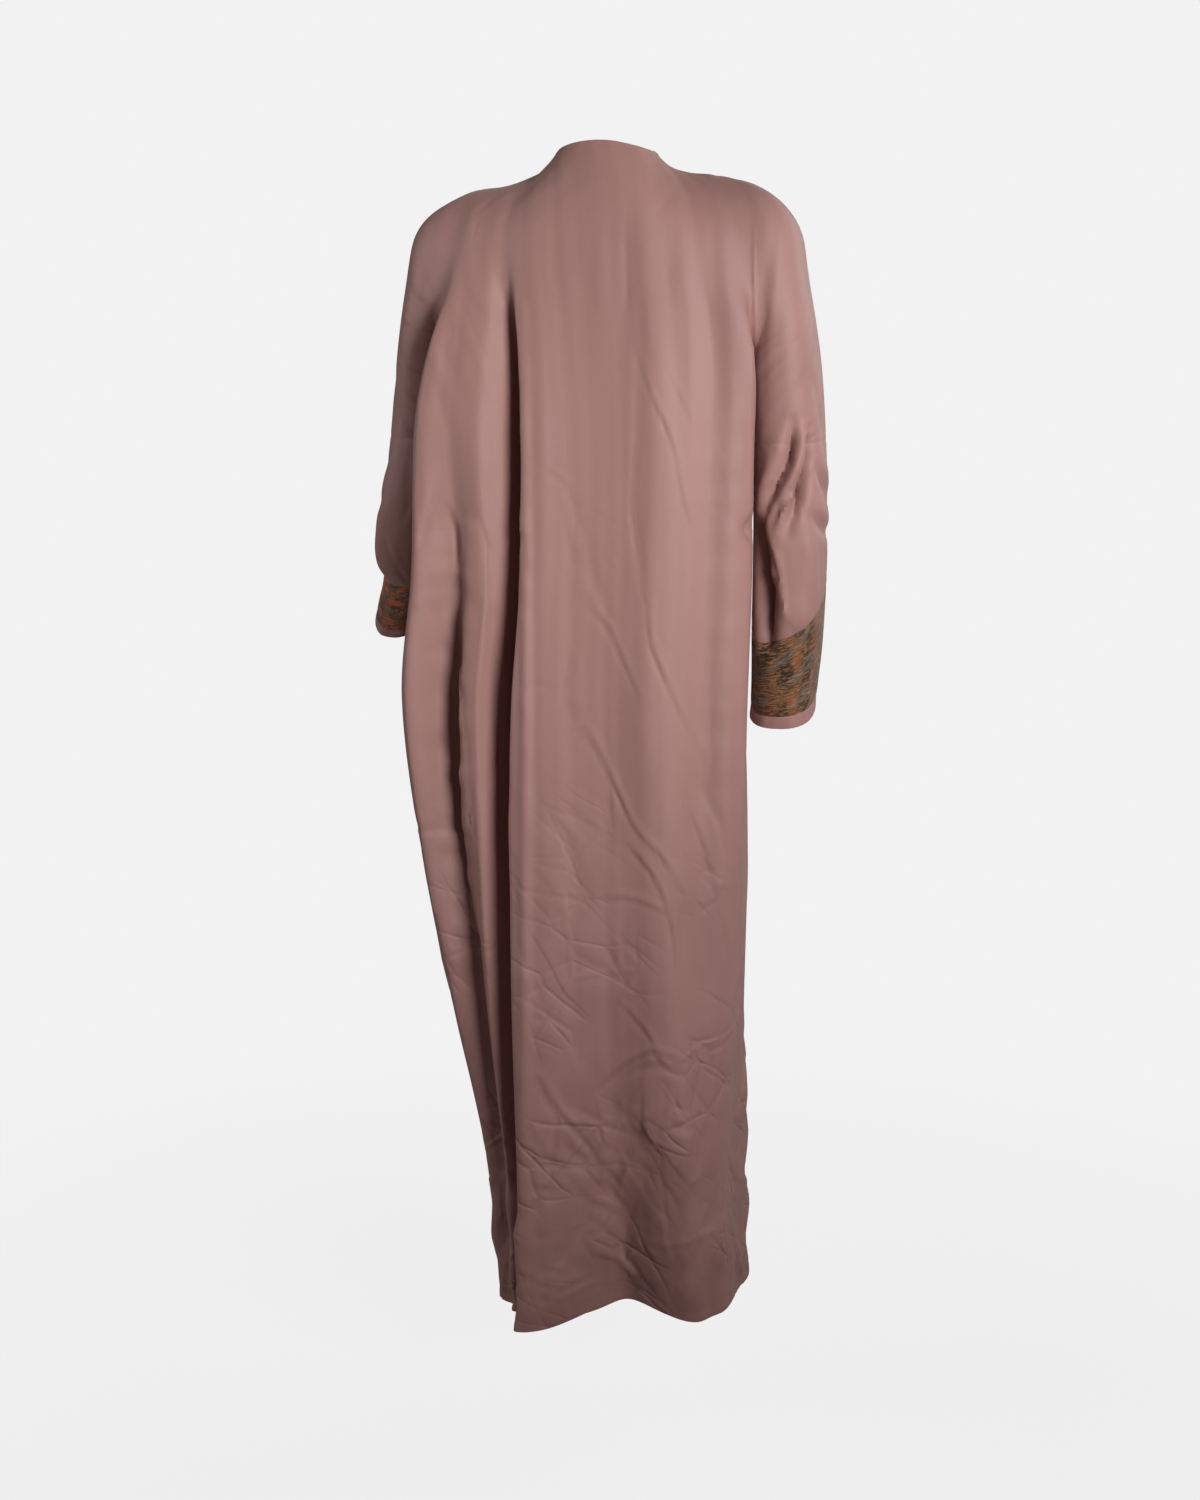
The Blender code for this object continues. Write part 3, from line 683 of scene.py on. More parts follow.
# %% Faces and outward directions
def quads(grid):
    """Corner numbers of each cell of a numbered grid."""
    corners = (grid[:-1, :-1], grid[1:, :-1], grid[1:, 1:], grid[:-1, 1:])
    return np.stack(corners, axis=-1).reshape(-1, 4)


FACES = {}
for piece_name, numbered in NUMBERED.items():
    faces = np.concatenate([quads(grid) for grid in numbered])
    FACES[piece_name] = faces[:, ::-1] if piece_name in FLIPPED else faces
ALL_FACES = np.concatenate(list(FACES.values()))
SHOULDER_SEAM = np.array([p[1] == 0 and p[2] > YOKE_Z + MM for p in places])


def outward(points):
    """Unit direction out of the cloth at every point."""
    corner = points[ALL_FACES]
    across = np.cross(corner[:, 2] - corner[:, 0], corner[:, 3] - corner[:, 1])
    total = np.zeros_like(points)
    for column in range(4):
        np.add.at(total, ALL_FACES[:, column], across)
    total[SHOULDER_SEAM, 1] = 0.0
    length = np.linalg.norm(total, axis=1, keepdims=True)
    return total / np.maximum(length, 1e-12)


direction = outward(cloth)
print("faces in the whole cloth:", len(ALL_FACES))

# %% [markdown]
# ## Soft unevenness
#
# Real cloth is never as even as a formula. A slow ripple, longer down the cloak than across it,
# keeps the satin's highlights alive. It is only about a millimetre deep. The noise comes from
# a fixed field in space, so each run gives the same cloth.

# %% Ripples
RIPPLES = (
    # waves per metre across, waves per metre down, depth in millimetres
    (14, 3.2, 1.3),
    (34, 9, 0.45),
)


def ripple(point):
    """Depth of all ripples at a point."""
    total = 0.0
    for across, down, depth in RIPPLES:
        place = Vector((point[0] * across, point[1] * across, point[2] * down))
        total += depth * MM * noise.noise(place + Vector((across, 0, 0)))
    return total


cloth += direction * np.array([[ripple(point)] for point in cloth])
direction = outward(cloth)
print("ripples:", len(RIPPLES))

# %% [markdown]
# ## Creases
#
# Thin satin keeps the creases of its packing and of the hand that hung it. Most are a soft trough
# with a small ridge beside it, where the cloth stands up against the bend, and some are a ridge
# alone. They are listed with points along them, seen from one side. The wide ones are the soft
# folds between the fold lines above. The cloak's hidden front gets creases of the same kind.

# %% Crease chart
CREASES = {
    # half width, depth (a ridge where positive), ridge beside it, then points along it: x and z
    # from the back or front, y and z from the sides, all in millimetres
    "back": (
        (6, -1.3, 0.6, (-56, -197), (-72, -241), (-97, -293), (-111, -359), (-124, -407)),
        (7, -1.3, -0.6, (-57, -205), (-56, -294), (-53, -361), (-58, -406), (-70, -482)),
        (5, -0.8, 0.5, (-88, -212), (-109, -252), (-124, -286)),
        (6, -0.7, 0.3, (-40, -55), (-43, -108), (-46, -168)),
        (4, -0.8, 0.3, (-12, -37), (-14, -49), (-10, -68)),
        (4, -0.8, 0.3, (-14, 23), (-7, 10), (-1, -1)),
        (5, -0.8, 0.5, (62, -316), (39, -332), (20, -347), (12, -377)),
        (6, -1.2, 0.6, (27, -366), (20, -392), (8, -438), (-1, -484)),
        (7, -1.3, -0.5, (15, -362), (4, -400), (-11, -453), (-27, -502)),
        (5, -0.8, 0.4, (-10, -373), (-33, -386), (-55, -393)),
        (5, -0.6, 0.4, (-111, -361), (-130, -373), (-148, -392)),
        (6, -0.6, 0.3, (-151, -324), (-157, -362), (-166, -392)),
        (6, -1.0, 0.4, (-4, -472), (-19, -499), (-43, -521)),
        (8, -3.0, 0.4, (160, -377), (152, -405), (152, -451)),
        (7, -1.8, 0.4, (123, -385), (111, -422), (107, -461)),
        (8, -2.4, -0.4, (177, -354), (185, -388), (199, -435)),
        (6, -1.6, 0.4, (88, -378), (70, -401), (65, -446)),
        (8, -0.9, 0.3, (114, -15), (129, -30), (148, -47)),
        (6, -0.7, 0.2, (59, 3), (78, -15), (53, -29)),
        (7, -0.8, 0.3, (136, -34), (138, -53), (142, -79)),
        (12, -1.2, 0.2, (118, -34), (83, -15), (52, 15)),
        (12, -0.8, 0.2, (94, -43), (53, -29), (15, -1)),
        (9, -0.7, 0.2, (-98, 0), (-86, -27), (-64, -50)),
        (5, -0.9, 0.2, (-185, -282), (-210, -279), (-223, -281)),
        (11, -9.0, 0.0, (-230, -276), (-226, -312), (-213, -340), (-199, -367), (-187, -405)),
        (8, -9.0, 0.2, (-229, -284), (-226, -314), (-213, -341)),
        (16, 4.0, 0.0, (-213, -300), (-202, -330), (-192, -360), (-186, -400)),
        (11, 6.0, 0.0, (-243, -280), (-236, -316), (-225, -345), (-211, -378)),
        (8, -9.0, 0.3, (-238, -343), (-223, -361), (-211, -381), (-203, -398)),
        (13, -14.0, 0.0, (-247, -284), (-249, -318), (-241, -350), (-231, -375), (-222, -404)),
        (8, -14.0, 0.2, (-247, -296), (-248, -324), (-239, -352), (-229, -376)),
        (10, 5.0, 0.0, (-232, -352), (-222, -376), (-216, -394)),
        (34, 3.5, 0.0, (-222, -512), (-238, -500), (-252, -486)),
        (18, -34.0, 0.0, (-185, -396), (-190, -440), (-194, -480), (-197, -540)),
        (9, 7.0, 0.3, (-204, -446), (-198, -470), (-192, -486)),
        (7, 4.5, 0.0, (-200, -404), (-211, -430), (-218, -466), (-221, -512)),
        (18, 3.4, 0.0, (-247, -400), (-250, -440), (-254, -480)),
        (6, -0.9, 0.4, (-205, -407), (-234, -410), (-257, -409)),
        (7, -1.8, 0.5, (-188, -434), (-203, -462), (-213, -489)),
        (7, -1.6, 0.5, (-180, -454), (-195, -490), (-207, -518)),
        (12, -1.4, 0.3, (197, -83), (214, -147), (233, -202)),
        (6, -0.8, 0.3, (192, -147), (159, -169), (162, -191)),
        (8, -1.6, 0.4, (265, -412), (257, -449), (246, -481)),
        (9, -1.6, 0.3, (225, -334), (228, -377), (242, -414)),
        (7, -2.0, 0.7, (4, -499), (13, -542), (18, -576), (11, -607), (-12, -646), (-35, -693),
         (-60, -743), (-95, -781), (-119, -833)),
        (7, -1.3, 0.6, (0, -480), (-27, -510), (-47, -552), (-65, -590)),
        (8, -1.6, 0.6, (-72, -478), (-76, -524), (-93, -566), (-111, -610), (-134, -662)),
        (5, -0.7, 0.3, (61, -575), (38, -575), (19, -578)),
        (5, -0.7, 0.3, (9, -602), (-27, -605), (-67, -611)),
        (8, -1.5, 0.6, (-111, -657), (-119, -716), (-133, -765), (-148, -819)),
        (8, -1.6, -0.5, (-125, -689), (-155, -751), (-165, -855)),
        (6, -1.4, 0.6, (-148, -819), (-162, -821), (-165, -855)),
        (6, -1.3, 0.4, (-119, -833), (-133, -840), (-146, -833), (-148, -819)),
        (8, -1.8, 0.6, (30, -726), (15, -765), (2, -803)),
        (6, -1.2, 0.5, (26, -710), (-4, -737), (-35, -756)),
        (7, -1.8, 0.6, (-52, -763), (-80, -797), (-98, -838)),
        (7, -2.0, 0.8, (-23, -827), (-60, -828), (-97, -842)),
        (7, -1.4, -0.4, (2, -803), (4, -842), (21, -864), (29, -902)),
        (6, -1.4, 0.4, (63, -786), (42, -809), (27, -842), (21, -864)),
        (7, -1.4, 0.5, (-98, -838), (-105, -883), (-107, -929)),
        (7, -1.4, -0.5, (-109, -829), (-114, -868), (-115, -918)),
        (7, -1.0, 0.4, (-148, -833), (-158, -874), (-163, -933)),
        (7, -1.0, 0.3, (-31, -693), (-32, -725), (-37, -756)),
        (5, -0.8, 0.3, (-113, -930), (-134, -938), (-148, -934)),
        (7, -1.8, 0.6, (-43, -959), (-62, -978), (-78, -998), (-83, -1014)),
        (7, -2.0, 0.5, (-83, -1014), (-91, -1026), (-104, -1037)),
        (8, -2.2, 0.7, (-9, -1072), (-29, -1049), (-55, -1029), (-83, -1014), (-106, -1024)),
        (7, -1.8, -0.6, (-17, -1066), (-55, -1044), (-91, -1035), (-128, -1050)),
        (7, -1.0, 0.4, (-97, -1018), (-120, -1026), (-147, -1019)),
        (8, -2.4, 0.8, (52, -1049), (37, -1081), (21, -1105), (7, -1114), (-11, -1112)),
        (8, -2.2, 0.8, (22, -1121), (12, -1142), (-14, -1158)),
        (6, -1.8, -0.4, (22, -1127), (14, -1151), (7, -1169)),
        (7, -1.8, 0.5, (62, -1108), (48, -1137), (29, -1158), (10, -1181)),
        (6, -1.4, 0.4, (62, -1180), (35, -1186), (10, -1186)),
        (8, -2.8, 0.7, (10, -1181), (-2, -1203), (-21, -1219), (-48, -1232)),
        (7, -2.6, -0.6, (-18, -1185), (-31, -1210), (-48, -1232)),
        (7, -1.5, 0.4, (7, -1169), (-5, -1177), (-19, -1185), (-39, -1168), (-60, -1156)),
        (7, -1.8, 0.5, (22, -1243), (2, -1236), (-11, -1216)),
        (7, -1.0, 0.3, (66, -1250), (40, -1242), (22, -1243)),
        (9, -2.6, 0.8, (6, -1248), (-11, -1275), (-35, -1294), (-49, -1309)),
        (8, -1.8, 0.6, (66, -1296), (41, -1308), (13, -1310), (-11, -1302)),
        (7, -1.6, 0.4, (63, -1313), (38, -1326), (15, -1324), (-10, -1319), (-34, -1323)),
        (8, -1.6, 0.6, (-54, -1272), (-85, -1261), (-112, -1259), (-144, -1251)),
        (7, -2.2, 0.5, (-54, -1272), (-75, -1274), (-84, -1284)),
        (7, -1.8, 0.6, (-44, -1089), (-67, -1103), (-82, -1127)),
        (7, -1.4, 0.4, (-61, -1092), (-85, -1101), (-101, -1113)),
        (6, -1.2, 0.4, (-54, -1109), (-70, -1122), (-82, -1128)),
        (7, -1.0, 0.3, (-66, -1142), (-91, -1136), (-112, -1145)),
        (7, -1.4, 0.4, (-61, -1149), (-79, -1171), (-82, -1181), (-66, -1184)),
        (8, -1.4, 0.5, (-85, -1165), (-102, -1192), (-112, -1215), (-120, -1242)),
        (7, -0.8, 0.3, (-139, -1101), (-153, -1107), (-160, -1116)),
        (6, -0.9, 0.3, (-91, -1238), (-102, -1250), (-120, -1251)),
        (6, -1.4, 0.5, (-156, -1294), (-162, -1305), (-163, -1316)),
        (6, -0.9, 0.3, (21, -1179), (24, -1146), (22, -1127)),
        (9, -1.6, 0.3, (-108, -1059), (-109, -1081), (-101, -1098)),
        (9, -1.4, 0.3, (-97, -1052), (-95, -1083), (-91, -1120)),
        (7, -0.8, 0.3, (-159, -1233), (-151, -1240), (-144, -1254)),
        (7, -1.0, 0.3, (-2, -1066), (-10, -1092), (-11, -1118)),
        (5, -0.5, 0.9, (79, -18), (40, -22), (5, -35), (-31, -40), (-65, -37), (-82, -24),
         (-94, 1)),
        (14, 1.0, 0.0, (-12, -63), (-13, -138), (-13, -227)),
        (38, -9.0, 0.0, (166, -400), (167, -520), (167, -640), (163, -780), (154, -940)),
        (20, 10.0, 0.0, (136, -400), (138, -520), (141, -640), (142, -760), (138, -880)),
        (36, 3.0, 0.0, (-152, -110), (-156, -260), (-156, -420), (-154, -640), (-150, -860)),
        (12, -1.4, 0.0, (-41, -44), (-43, -116), (-47, -193)),
        (14, 1.0, 0.0, (-63, -55), (-69, -138), (-79, -226)),
        (18, 1.2, 0.0, (-113, -72), (-118, -171), (-123, -271)),
        (13, -1.0, 0.0, (-89, -72), (-94, -171), (-103, -271)),
        (18, 1.4, 0.0, (57, -94), (50, -250), (44, -431)),
        (14, 1.2, 0.0, (142, -71), (141, -173), (146, -274)),
        (12, -1.2, 0.0, (178, -83), (165, -172), (169, -274)),
        (10, 5.0, 0.0, (76, -150), (70, -260), (67, -400), (66, -600), (67, -830), (69, -1075),
         (69, -1313)),
        (15, -4.0, 0.0, (108, -170), (110, -260), (109, -400), (107, -600), (103, -800)),
        (4, 1.8, 0.0, (141, -436), (140, -599), (148, -822), (158, -950), (164, -990)),
        (6, 2.2, 0.0, (-182, -62), (-184, -150), (-184, -250), (-183, -386)),
        (14, -2.4, 0.0, (-196, -90), (-197, -170), (-196, -260)),
        (12, 2.0, 0.0, (-214, -60), (-208, -110), (-200, -170), (-199, -240)),
    ),
    "front": (
        (6, -1.0, 0.4, (38, -210), (52, -262), (60, -318)),
        (7, -1.2, 0.5, (95, -240), (72, -300), (58, -352), (50, -418)),
        (6, -1.1, 0.5, (-60, -205), (-84, -268), (-96, -330)),
        (6, -1.0, 0.4, (-30, -330), (-52, -372), (-88, -402)),
        (7, -1.4, 0.5, (120, -420), (96, -470), (80, -540), (76, -610)),
        (6, -1.2, 0.5, (44, -500), (70, -560), (104, -598)),
        (7, -1.4, 0.5, (-118, -452), (-96, -520), (-88, -596)),
        (7, -1.3, 0.5, (-40, -560), (-66, -612), (-110, -650)),
        (7, -1.5, 0.5, (60, -700), (88, -742), (124, -760)),
        (7, -1.2, -0.4, (130, -640), (112, -706), (108, -790)),
        (7, -1.6, 0.6, (-128, -700), (-100, -760), (-60, -796)),
        (7, -1.4, 0.5, (-50, -820), (-78, -850), (-122, -862)),
        (7, -1.6, 0.5, (36, -880), (66, -930), (72, -990)),
        (8, -2.0, 0.6, (118, -900), (90, -960), (52, -1004)),
        (8, -2.0, 0.6, (-36, -940), (-70, -984), (-90, -1050)),
        (7, -1.7, -0.5, (-140, -960), (-112, -1010), (-70, -1036)),
        (8, -2.0, 0.6, (40, -1060), (74, -1092), (110, -1098)),
        (8, -2.2, 0.6, (112, -1100), (84, -1150), (60, -1210)),
        (8, -2.2, 0.6, (-40, -1090), (-64, -1140), (-104, -1168)),
        (8, -1.8, 0.5, (-130, -1120), (-100, -1180), (-88, -1240)),
        (8, -2.0, 0.5, (34, -1200), (58, -1248), (96, -1270)),
        (8, -2.2, 0.6, (-36, -1230), (-76, -1262), (-122, -1270)),
        (7, -1.6, 0.5, (100, -1290), (64, -1310), (30, -1306)),
        (7, -1.6, 0.5, (-130, -1300), (-90, -1322), (-40, -1318)),
        (11, -2.4, 0.3, (205, -180), (214, -240), (208, -300)),
        (11, -2.2, 0.3, (-205, -180), (-212, -250), (-206, -310)),
        (10, -4.5, 0.4, (190, -330), (214, -352), (242, -356)),
        (10, -5.0, 0.4, (-190, -340), (-214, -366), (-244, -372)),
    ),
    "left": (
        (14, -2.5, 0.2, (36, -322), (10, -346), (-30, -356)),
        (14, -2.5, 0.2, (44, -368), (8, -384), (-40, -390)),
        (11, -2.6, 0.3, (30, -230), (6, -280), (-8, -320)),
        (7, -1.4, 0.5, (40, -620), (10, -700), (-30, -760)),
        (8, -1.8, 0.5, (-60, -900), (-20, -960), (30, -990)),
        (8, -2.0, 0.6, (50, -1120), (4, -1170), (-50, -1190)),
    ),
    "right": (
        (12, -6.0, 0.4, (40, -320), (8, -352), (-34, -372)),
        (12, -6.0, 0.4, (46, -382), (4, -404), (-44, -410)),
        (11, -2.6, 0.3, (34, -230), (14, -280), (2, -326)),
        (9, -2.6, 0.4, (-20, -430), (-34, -458), (-50, -474)),
        (7, -1.4, 0.5, (46, -700), (6, -780), (-24, -850)),
        (8, -1.9, 0.5, (-50, -960), (-10, -1010), (44, -1030)),
        (8, -2.0, 0.6, (40, -1160), (-6, -1210), (-56, -1236)),
    ),
}
print("creases:", {view: len(rows) for view, rows in CREASES.items()})

# %% Pressing the creases in
LOOKS = {
    # origin's axis, its sign, axes of the points
    "back": (1, 1, (0, 2)),
    "front": (1, -1, (0, 2)),
    "left": (0, 1, (1, 2)),
    "right": (0, -1, (1, 2)),
}
CREASE_STEP = 0.004
# sharp creases: share of the charted width, and of the depth above and below two heights
CREASE_WIDTH = 0.38
CREASE_DEPTH = (0.95, 1.35)
CREASE_DEEPER_Z = (-0.40, -1.00)
CREASE_SHARPNESS = 1.25
# soft ones: charted half width from which they count as soft, and share of that width
WIDE_CREASE = 9.5
WIDE_CREASE_WIDTH = 0.65
WIDE_CREASE_SHARPNESS = 2.0
# both: reach, and place and width of the ridge beside the trough, in widths of the trough
CREASE_REACH = 5
RIDGE_PLACE = 2.0
RIDGE_WIDTH = 1.6
# ends stay a little open, and depth varies along the crease
CREASE_END = 0.04
UNEVEN_SHARE = 0.45
UNEVEN_PER_METRE = 38
SAME_SIDE = 0.25
surface = BVHTree.FromPolygons([Vector(p) for p in cloth], ALL_FACES.tolist())


def crease_samples(view, points):
    """Places and outward directions along a crease, on the cloth."""
    depth_axis, sign, axes = LOOKS[view]
    flat = [np.array(p, float) * MM for p in points]
    flat = [2 * flat[0] - flat[1]] + flat + [2 * flat[-1] - flat[-2]]
    found = []
    for a, b, c, d in zip(flat, flat[1:], flat[2:], flat[3:]):
        steps = max(2, int(np.linalg.norm(c - b) / CREASE_STEP))
        for step in range(steps):
            t = step / steps
            bend = 2 * b + (c - a) * t + (2 * a - 5 * b + 4 * c - d) * t * t
            spot = 0.5 * (bend + (3 * b - a - 3 * c + d) * t**3)
            origin = Vector((0, 0, 0))
            aim = Vector((0, 0, 0))
            origin[axes[0]], origin[axes[1]] = spot
            origin[depth_axis] = sign
            aim[depth_axis] = -sign
            place, normal, _, _ = surface.ray_cast(origin, aim)
            if place is not None:
                found.append((place[:], normal[:]))
    return np.array([f[0] for f in found]), np.array([f[1] for f in found])


def press(points, directions, view, crease):
    """How far one crease moves the cloth's points."""
    half_width, depth, lean, *chart = crease
    spots, normals = crease_samples(view, chart)
    wide = half_width > WIDE_CREASE
    width = half_width * MM * (WIDE_CREASE_WIDTH if wide else CREASE_WIDTH)
    sharpness = WIDE_CREASE_SHARPNESS if wide else CREASE_SHARPNESS
    reach = width * CREASE_REACH
    low = spots.min(axis=0) - reach
    high = spots.max(axis=0) + reach
    near = np.nonzero(((points > low) & (points < high)).all(axis=1))[0]
    gaps = points[near][:, None, :] - spots[None, :, :]
    distance = np.linalg.norm(gaps, axis=2)
    closest = distance.argmin(axis=1)
    rows = np.arange(len(near))
    away = distance[rows, closest]
    along = np.gradient(spots, axis=0)
    beside = np.cross(normals, along)
    beside /= np.maximum(np.linalg.norm(beside, axis=1, keepdims=True), 1e-9)
    side = np.sign((gaps[rows, closest] * beside[closest]).sum(axis=1))
    share = closest / (len(spots) - 1)
    uneven = np.array([noise.noise(Vector(spot) * UNEVEN_PER_METRE) for spot in spots])[closest]
    taper = np.sqrt(np.sin(np.pi * np.clip(share, CREASE_END, 1 - CREASE_END)))
    taper *= 1 + UNEVEN_SHARE * uneven
    trough = np.exp(-((away / width) ** sharpness))
    ridge = lean * np.exp(-(((away * side / width - RIDGE_PLACE) / RIDGE_WIDTH) ** 2))
    facing = (directions[near] * normals[closest]).sum(axis=1) > SAME_SIDE
    upper_z, lower_z = CREASE_DEEPER_Z
    lower = smooth((upper_z - spots[0][2]) / (upper_z - lower_z))
    height = depth * MM * (1.0 if wide else mix(*CREASE_DEPTH, lower))
    moved = np.zeros(len(points))
    moved[near] = height * taper * (trough - ridge) * facing
    return moved


# %% [markdown]
# ## Facets
#
# Cloth that was packed also keeps flat facets with straight valleys between them, too many to
# chart by hand. A field of random cells gives them: a point stands out by its distance from the
# edge of its cell. They show in patches, and more of them towards the hem. All creases are then
# pressed in on top.

# %% Facets of packed cloth
FACETS = (
    # cells per metre round the cloak and down it, turn in degrees, rise in millimetres, shift
    (15, 5, 36, 9.0, 0.3),
    (11, 6, -29, 10.0, 31.7),
)
FACET_RADIUS = 0.19
FACET_TOP = 0.42
FACETS_BEGIN_Z = -0.62
FACETS_FULL_Z = -1.12
FACET_PATCHES_PER_METRE = 6
FACET_PATCH = (-0.12, 0.16)
# factors that turn a cell's numbers into a scattered place within it, across and down
SCATTER = ((127.1, 311.7), (269.5, 183.3))
SCATTER_SCALE = 43758.5453


def facet_height(flat, across, down, turn, rise, shift):
    """Height of a field of roofs, one over each cell, with straight valleys between them."""
    turn = math.radians(turn)
    u = (flat[:, 0] * math.cos(turn) + flat[:, 1] * math.sin(turn)) * across + shift
    v = (flat[:, 1] * math.cos(turn) - flat[:, 0] * math.sin(turn)) * down + shift
    place = np.stack([u, v], axis=1)
    centres = []
    for step_u in (-1, 0, 1):
        for step_v in (-1, 0, 1):
            cell = np.floor(place) + (step_u, step_v)
            sums = np.stack([(cell * factors).sum(axis=1) for factors in SCATTER], axis=1)
            centres.append(cell + np.sin(sums) * SCATTER_SCALE % 1)
    centres = np.array(centres)
    distance = np.linalg.norm(centres - place, axis=2)
    order = distance.argsort(axis=0)
    each = np.arange(len(flat))
    near, far = centres[order[0], each], centres[order[1], each]
    squares = distance[order[1], each] ** 2 - distance[order[0], each] ** 2
    to_edge = squares / (2 * np.maximum(np.linalg.norm(far - near, axis=1), 1e-6))
    return rise * MM * np.minimum(to_edge, FACET_TOP)


round_cloak = FACET_RADIUS * np.arctan2(cloth[:, 0], cloth[:, 1])
unrolled = np.stack([round_cloak, cloth[:, 2]], axis=1)
patches = np.array([noise.noise(Vector(point) * FACET_PATCHES_PER_METRE) for point in cloth])
in_patch = np.clip((patches - FACET_PATCH[0]) / (FACET_PATCH[1] - FACET_PATCH[0]), 0, 1)
low_down = np.clip((FACETS_BEGIN_Z - cloth[:, 2]) / (FACETS_BEGIN_Z - FACETS_FULL_Z), 0, 1)
facets = sum(facet_height(unrolled, *row) for row in FACETS) * in_patch * low_down
cloth += direction * facets[:, None]
direction = outward(cloth)
print("highest facet in millimetres:", round(facets.max() / MM, 2))

# %% Pressing all creases
pressed = sum(
    press(cloth, direction, view, crease) for view, creases in CREASES.items() for crease in creases
)
cloth += direction * pressed[:, None]
direction = outward(cloth)
print("deepest crease in millimetres:", round(pressed.min() / MM, 2))

# %% [markdown]
# ## Seams and hems
#
# Where pieces are sewn together the cloth dips at the stitches and puckers a little beside them.
# The hem and the open edges are folded in. Each shows as a slightly raised band with a groove for
# the topstitching along its inner side. All of it follows from the distance to the seam or edge.

# %% Seams
SEAM_DIP = 0.7
SEAM_REACH = 2.6
PUCKER_DEPTH = 0.5
PUCKER_REACH = 11
PUCKERS_PER_METRE = 95
PUCKER_LIMIT = 2 * PUCKER_REACH * MM


def near_points(numbers, points, most):
    """Distance of every point from the listed ones, where it is nearer than a limit."""
    tree = KDTree(len(numbers))
    for number in numbers:
        tree.insert(points[number], number)
    tree.balance()
    listed = points[numbers]
    inside = (points > listed.min(axis=0) - most) & (points < listed.max(axis=0) + most)
    distance = np.full(len(points), np.inf)
    for number in np.nonzero(inside.all(axis=1))[0]:
        distance[number] = tree.find(points[number])[2]
    return distance


def puckers(points, distance):
    """Small uneven waves that die out away from a seam."""
    moved = np.zeros(len(points))
    for number in np.nonzero(distance < PUCKER_LIMIT)[0]:
        spot = Vector(points[number]) * PUCKERS_PER_METRE
        fade = math.exp(-distance[number] / (PUCKER_REACH * MM))
        moved[number] = PUCKER_DEPTH * MM * noise.noise(spot) * fade
    return moved


seam_numbers = [number for number, pieces in enumerate(owners) if len(pieces) > 1]
seam_distance = near_points(seam_numbers, cloth, PUCKER_LIMIT)
dip = -SEAM_DIP * MM * np.exp(-((seam_distance / (SEAM_REACH * MM)) ** 2))
cloth += direction * (dip + puckers(cloth, seam_distance))[:, None]
print("points on seams:", len(seam_numbers))

# %% Hem, front edges, neckline and cuff ends
HEM_FOLD = 11.0
EDGE_FOLD = 9.0
NECK_FOLD = 7.0
BAND_FOLD = 9.5
FOLD_RAISE = 0.35
FOLD_STEP = 0.6
STITCH_GROOVE = 0.35
STITCH_REACH = 2.2


def edge_numbers(piece_name, edge):
    """Numbers of the points along one open edge of a piece."""
    upper = NUMBERED[piece_name][0]
    lower = NUMBERED[piece_name][-1]
    if edge == "hem":
        return lower[-1].tolist()
    if edge == "front":
        return upper[:, -1].tolist() + lower[1:, -1].tolist()
    start, stop = neck_columns()
    return upper[0][start : stop + 1].tolist()


EDGES = (
    # edge, pieces with it, width of its fold
    ("hem", ("back", "front_left", "front_right"), HEM_FOLD),
    ("front", ("front_left", "front_right"), EDGE_FOLD),
    ("neck", ("back",), NECK_FOLD),
    ("hem", ("cuff_band_left", "cuff_band_right"), BAND_FOLD),
)


def fold_edge(distance, fold):
    """A folded edge: thicker up to its stitches, with a groove along them."""
    fold = fold * MM
    raised = FOLD_RAISE * MM / (1 + np.exp((distance - fold) / (FOLD_STEP * MM)))
    groove = STITCH_GROOVE * MM * np.exp(-(((distance - fold) / (STITCH_REACH * MM)) ** 2))
    return raised - groove


for edge, piece_names, fold in EDGES:
    numbers = {number for name in piece_names for number in edge_numbers(name, edge)}
    distance = near_points(sorted(numbers), cloth, PUCKER_LIMIT + HEM_FOLD * MM)
    from_stitches = np.abs(distance - fold * MM)
    moved = fold_edge(distance, fold) + puckers(cloth, from_stitches)
    cloth += direction * moved[:, None]
    print(edge, piece_names, "points:", len(numbers))
direction = outward(cloth)

# %% [markdown]
# ## Cutting the pieces
#
# Now each piece takes its part of the cloth. It gets a UV map in metres: u runs round the body or
# the arm and v down the piece, so that a weave keeps its size and follows the cloth. Solidify
# then gives the cloth its thickness inwards, and closes the sheet at its edges. The inside of a
# large piece is made coarser, because only its outside carries creases one looks at closely.

# %% Making a piece
CLOTH_THICKNESS = 0.0009
MOST_FACES = 90000
SMOOTH_BELOW = math.radians(50)
# middle column of the back's skirt; its upper grid has the arm's and the valley's before it
SKIRT_MIDDLE = column_of("left side", "back hollow")
BACK_MIDDLE = (ARM_COLUMNS + VALLEY_COLUMNS + SKIRT_MIDDLE, SKIRT_MIDDLE)


def deselect():
    """Leaves nothing selected."""
    for found in bpy.context.selected_objects:
        found.select_set(False)


def only(piece):
    """Makes a piece the selected and active one."""
    deselect()
    piece.select_set(True)
    bpy.context.view_layer.objects.active = piece


